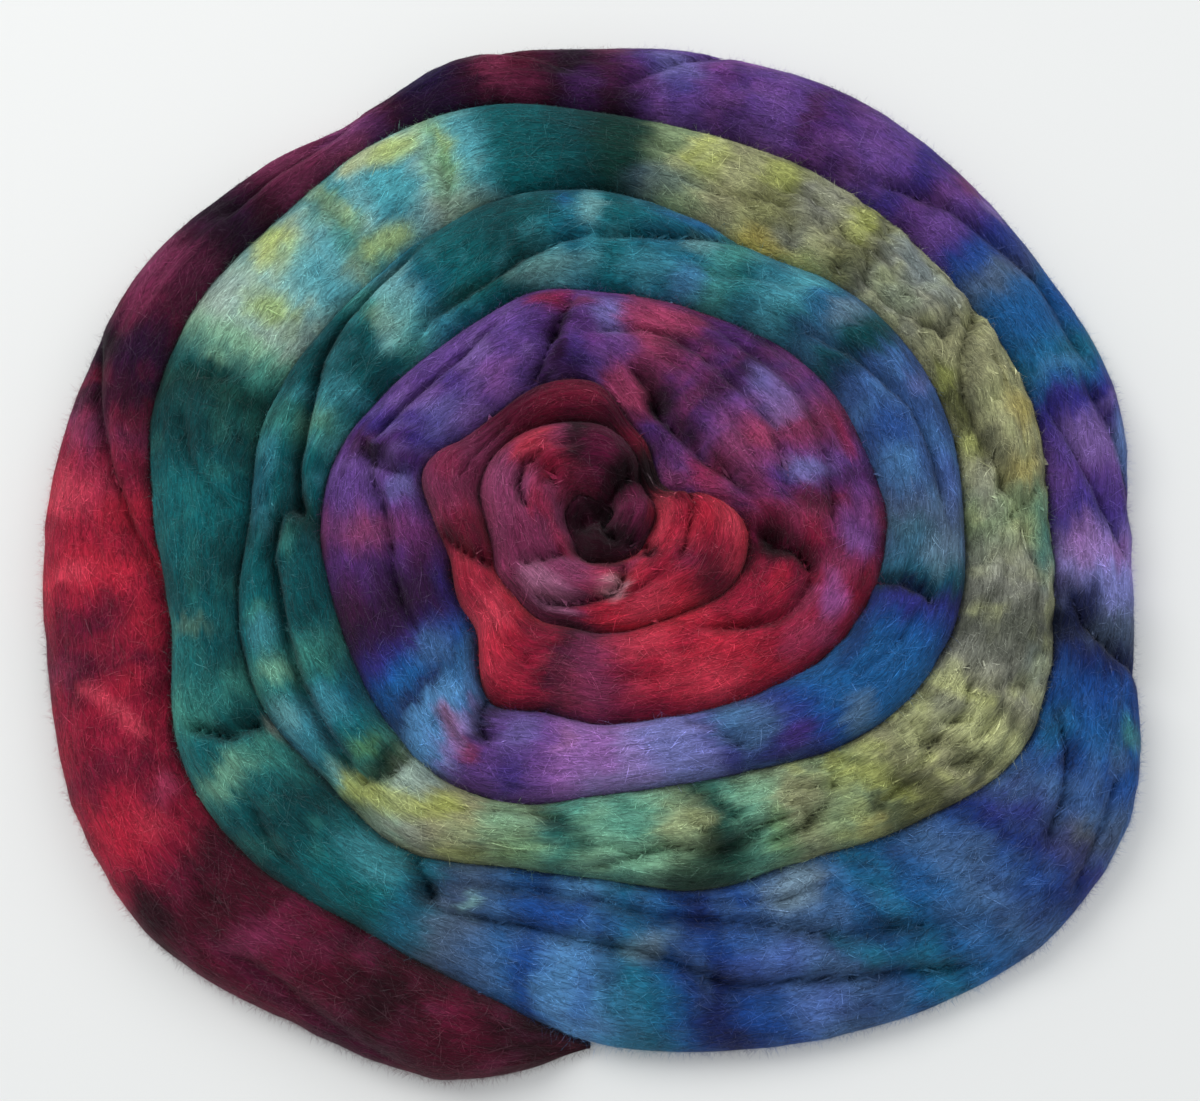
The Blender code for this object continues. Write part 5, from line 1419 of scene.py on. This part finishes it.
def place_camera(middle):
    """A camera on the near side, looking down at the middle."""
    elevation = math.radians(CAMERA_ELEVATION)
    aim = Vector((middle[0], middle[1] - AIM_BELOW_MIDDLE, AIM_HEIGHT)) * MM
    back = Vector((0.0, -math.cos(elevation), math.sin(elevation)))
    data = bpy.data.cameras.new("camera")
    data.sensor_width = SENSOR
    data.lens = SENSOR / 2.0 / math.tan(math.radians(CAMERA_VIEW_WIDTH) / 2.0)
    camera = bpy.data.objects.new("camera", data)
    camera.location = aim + back * CAMERA_DISTANCE * MM
    camera.rotation_euler = (-back).to_track_quat("-Z", "Y").to_euler()
    bpy.context.scene.collection.objects.link(camera)
    bpy.context.scene.camera = camera


def place_light(name, location, size, power, colour):
    """A round soft lamp that points at the roving."""
    data = bpy.data.lights.new(name, "AREA")
    data.shape = "DISK"
    data.size = size
    data.energy = power
    data.color = colour
    lamp = bpy.data.objects.new(name, data)
    lamp.location = location
    lamp.rotation_euler = (-Vector(location)).to_track_quat("-Z", "Y").to_euler()
    bpy.context.scene.collection.objects.link(lamp)


def light_and_table():
    bpy.context.scene.view_settings.view_transform = "Standard"
    for lamp in LAMPS:
        place_light(*lamp)
    world = bpy.data.worlds.new("soft_room")
    world.use_nodes = True
    background = world.node_tree.nodes["Background"].inputs
    background["Color"].default_value = ROOM_COLOUR
    background["Strength"].default_value = ROOM_STRENGTH
    bpy.context.scene.world = world
    bpy.ops.mesh.primitive_plane_add(size=TABLE_SIZE, location=(0.0, 0.0, -TABLE_BELOW))
    table = bpy.context.object
    table.name = "table_top"
    table.data.materials.append(pale_table())


# ---------------------------------------------------------------- making the roving

# The fibres are drawn several times thicker than real wool, which is about 0.02 mm, and far
# fewer, so that they show and stay within the limit of triangles.
LAID_SIZES = {
    "Fibres per Square Metre": 76000.0, "Length": 9 * MM, "Width": 0.18 * MM, "Steps": 4,
    "Lift": 0.45 * MM, "Stray": 1.7, "Crimp": 1.7 * MM, "Crimp Spacing": 2.8 * MM,
    "Lightest": 1.4, "Darkest": 0.65, "Own Dye": 0.5, "Painted Highlight": 0.02,
}
# The crossing frizz and the standing fuzz are drawn lighter on the whole than the wool they grow
# from: painted highlight for the light they catch, besides each fibre's own tone.
FRIZZ_SIZES = {
    "Fibres per Square Metre": 70000.0, "Length": 5.0 * MM, "Width": 0.11 * MM, "Steps": 4,
    "Lift": 1.0 * MM, "Stray": 3.6, "Crimp": 2.4 * MM, "Crimp Spacing": 2.0 * MM,
    "Lightest": 1.6, "Darkest": 0.8, "Own Dye": 0.6, "Painted Highlight": 0.05,
}
FUZZ_SIZES = {
    "Width": 0.05 * MM, "Steps": 3, "Lift": 0.3 * MM, "Stray": 5.0,
    "Rise": 1.2, "Crimp": 2.6 * MM, "Crimp Spacing": 2.0 * MM,
    "Lightest": 1.5, "Darkest": 0.9, "Own Dye": 1.0, "Painted Highlight": 0.09,
}
LAID = (                   # name, seed and sizes of each batch of fibres combed over the strand
    ("combed_fibres_1", 1, LAID_SIZES),
    ("combed_fibres_2", 20, LAID_SIZES),
    ("combed_fibres_3", 300, LAID_SIZES),
    ("crossing_frizz", 7, FRIZZ_SIZES),
)
FUZZ = (                   # name, seed, what it grows along, fibres per square metre, length
    ("turn_edge_fuzz", 9, "rim", 420000.0, 3.6 * MM),
    ("outline_fuzz", 33, "outline", 2100000.0, 2.3 * MM),
)


def make_roving():
    """Makes every piece of the roving, and returns where the spiral's middle is."""
    surface = StrandSurface()
    # The upper side's dye, with painted shade deep in its folds; the underside blends the colours
    # of its two edges.
    top = dye_colours(
        surface.top_bearing, surface.top_radius, surface.top_along, surface.top_side, surface.sunk)
    share = np.linspace(0.0, 1.0, len(UNDER_SHAPE))[None, :, None]
    under = top[:, -1:, :] * (1 - share) + top[:, :1, :] * share
    colours = np.concatenate((top, under), axis=1)
    body = strand_body(surface, colours, combed_wool())

    wool = loose_wool("loose_wool_fibre", 0.10)
    laid = fibre_tree("laid_fibres", "cover", laid=True)
    pieces = [body]
    for name, seed, sizes in LAID:
        pieces.append(grow_fibres(name, body, laid, {**sizes, "Seed": seed, "Wool": wool}))
    for name, seed, where, density, length in FUZZ:
        standing = fibre_tree(name, where, laid=False)
        pieces.append(grow_fibres(name, body, standing, {
            **FUZZ_SIZES, "Seed": seed, "Wool": wool, "Fibres per Square Metre": density,
            "Length": length}))
    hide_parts("roving")
    for piece in pieces:
        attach(piece, "root")
    return -surface.centre


spiral_middle = make_roving()
place_camera(spiral_middle)
light_and_table()
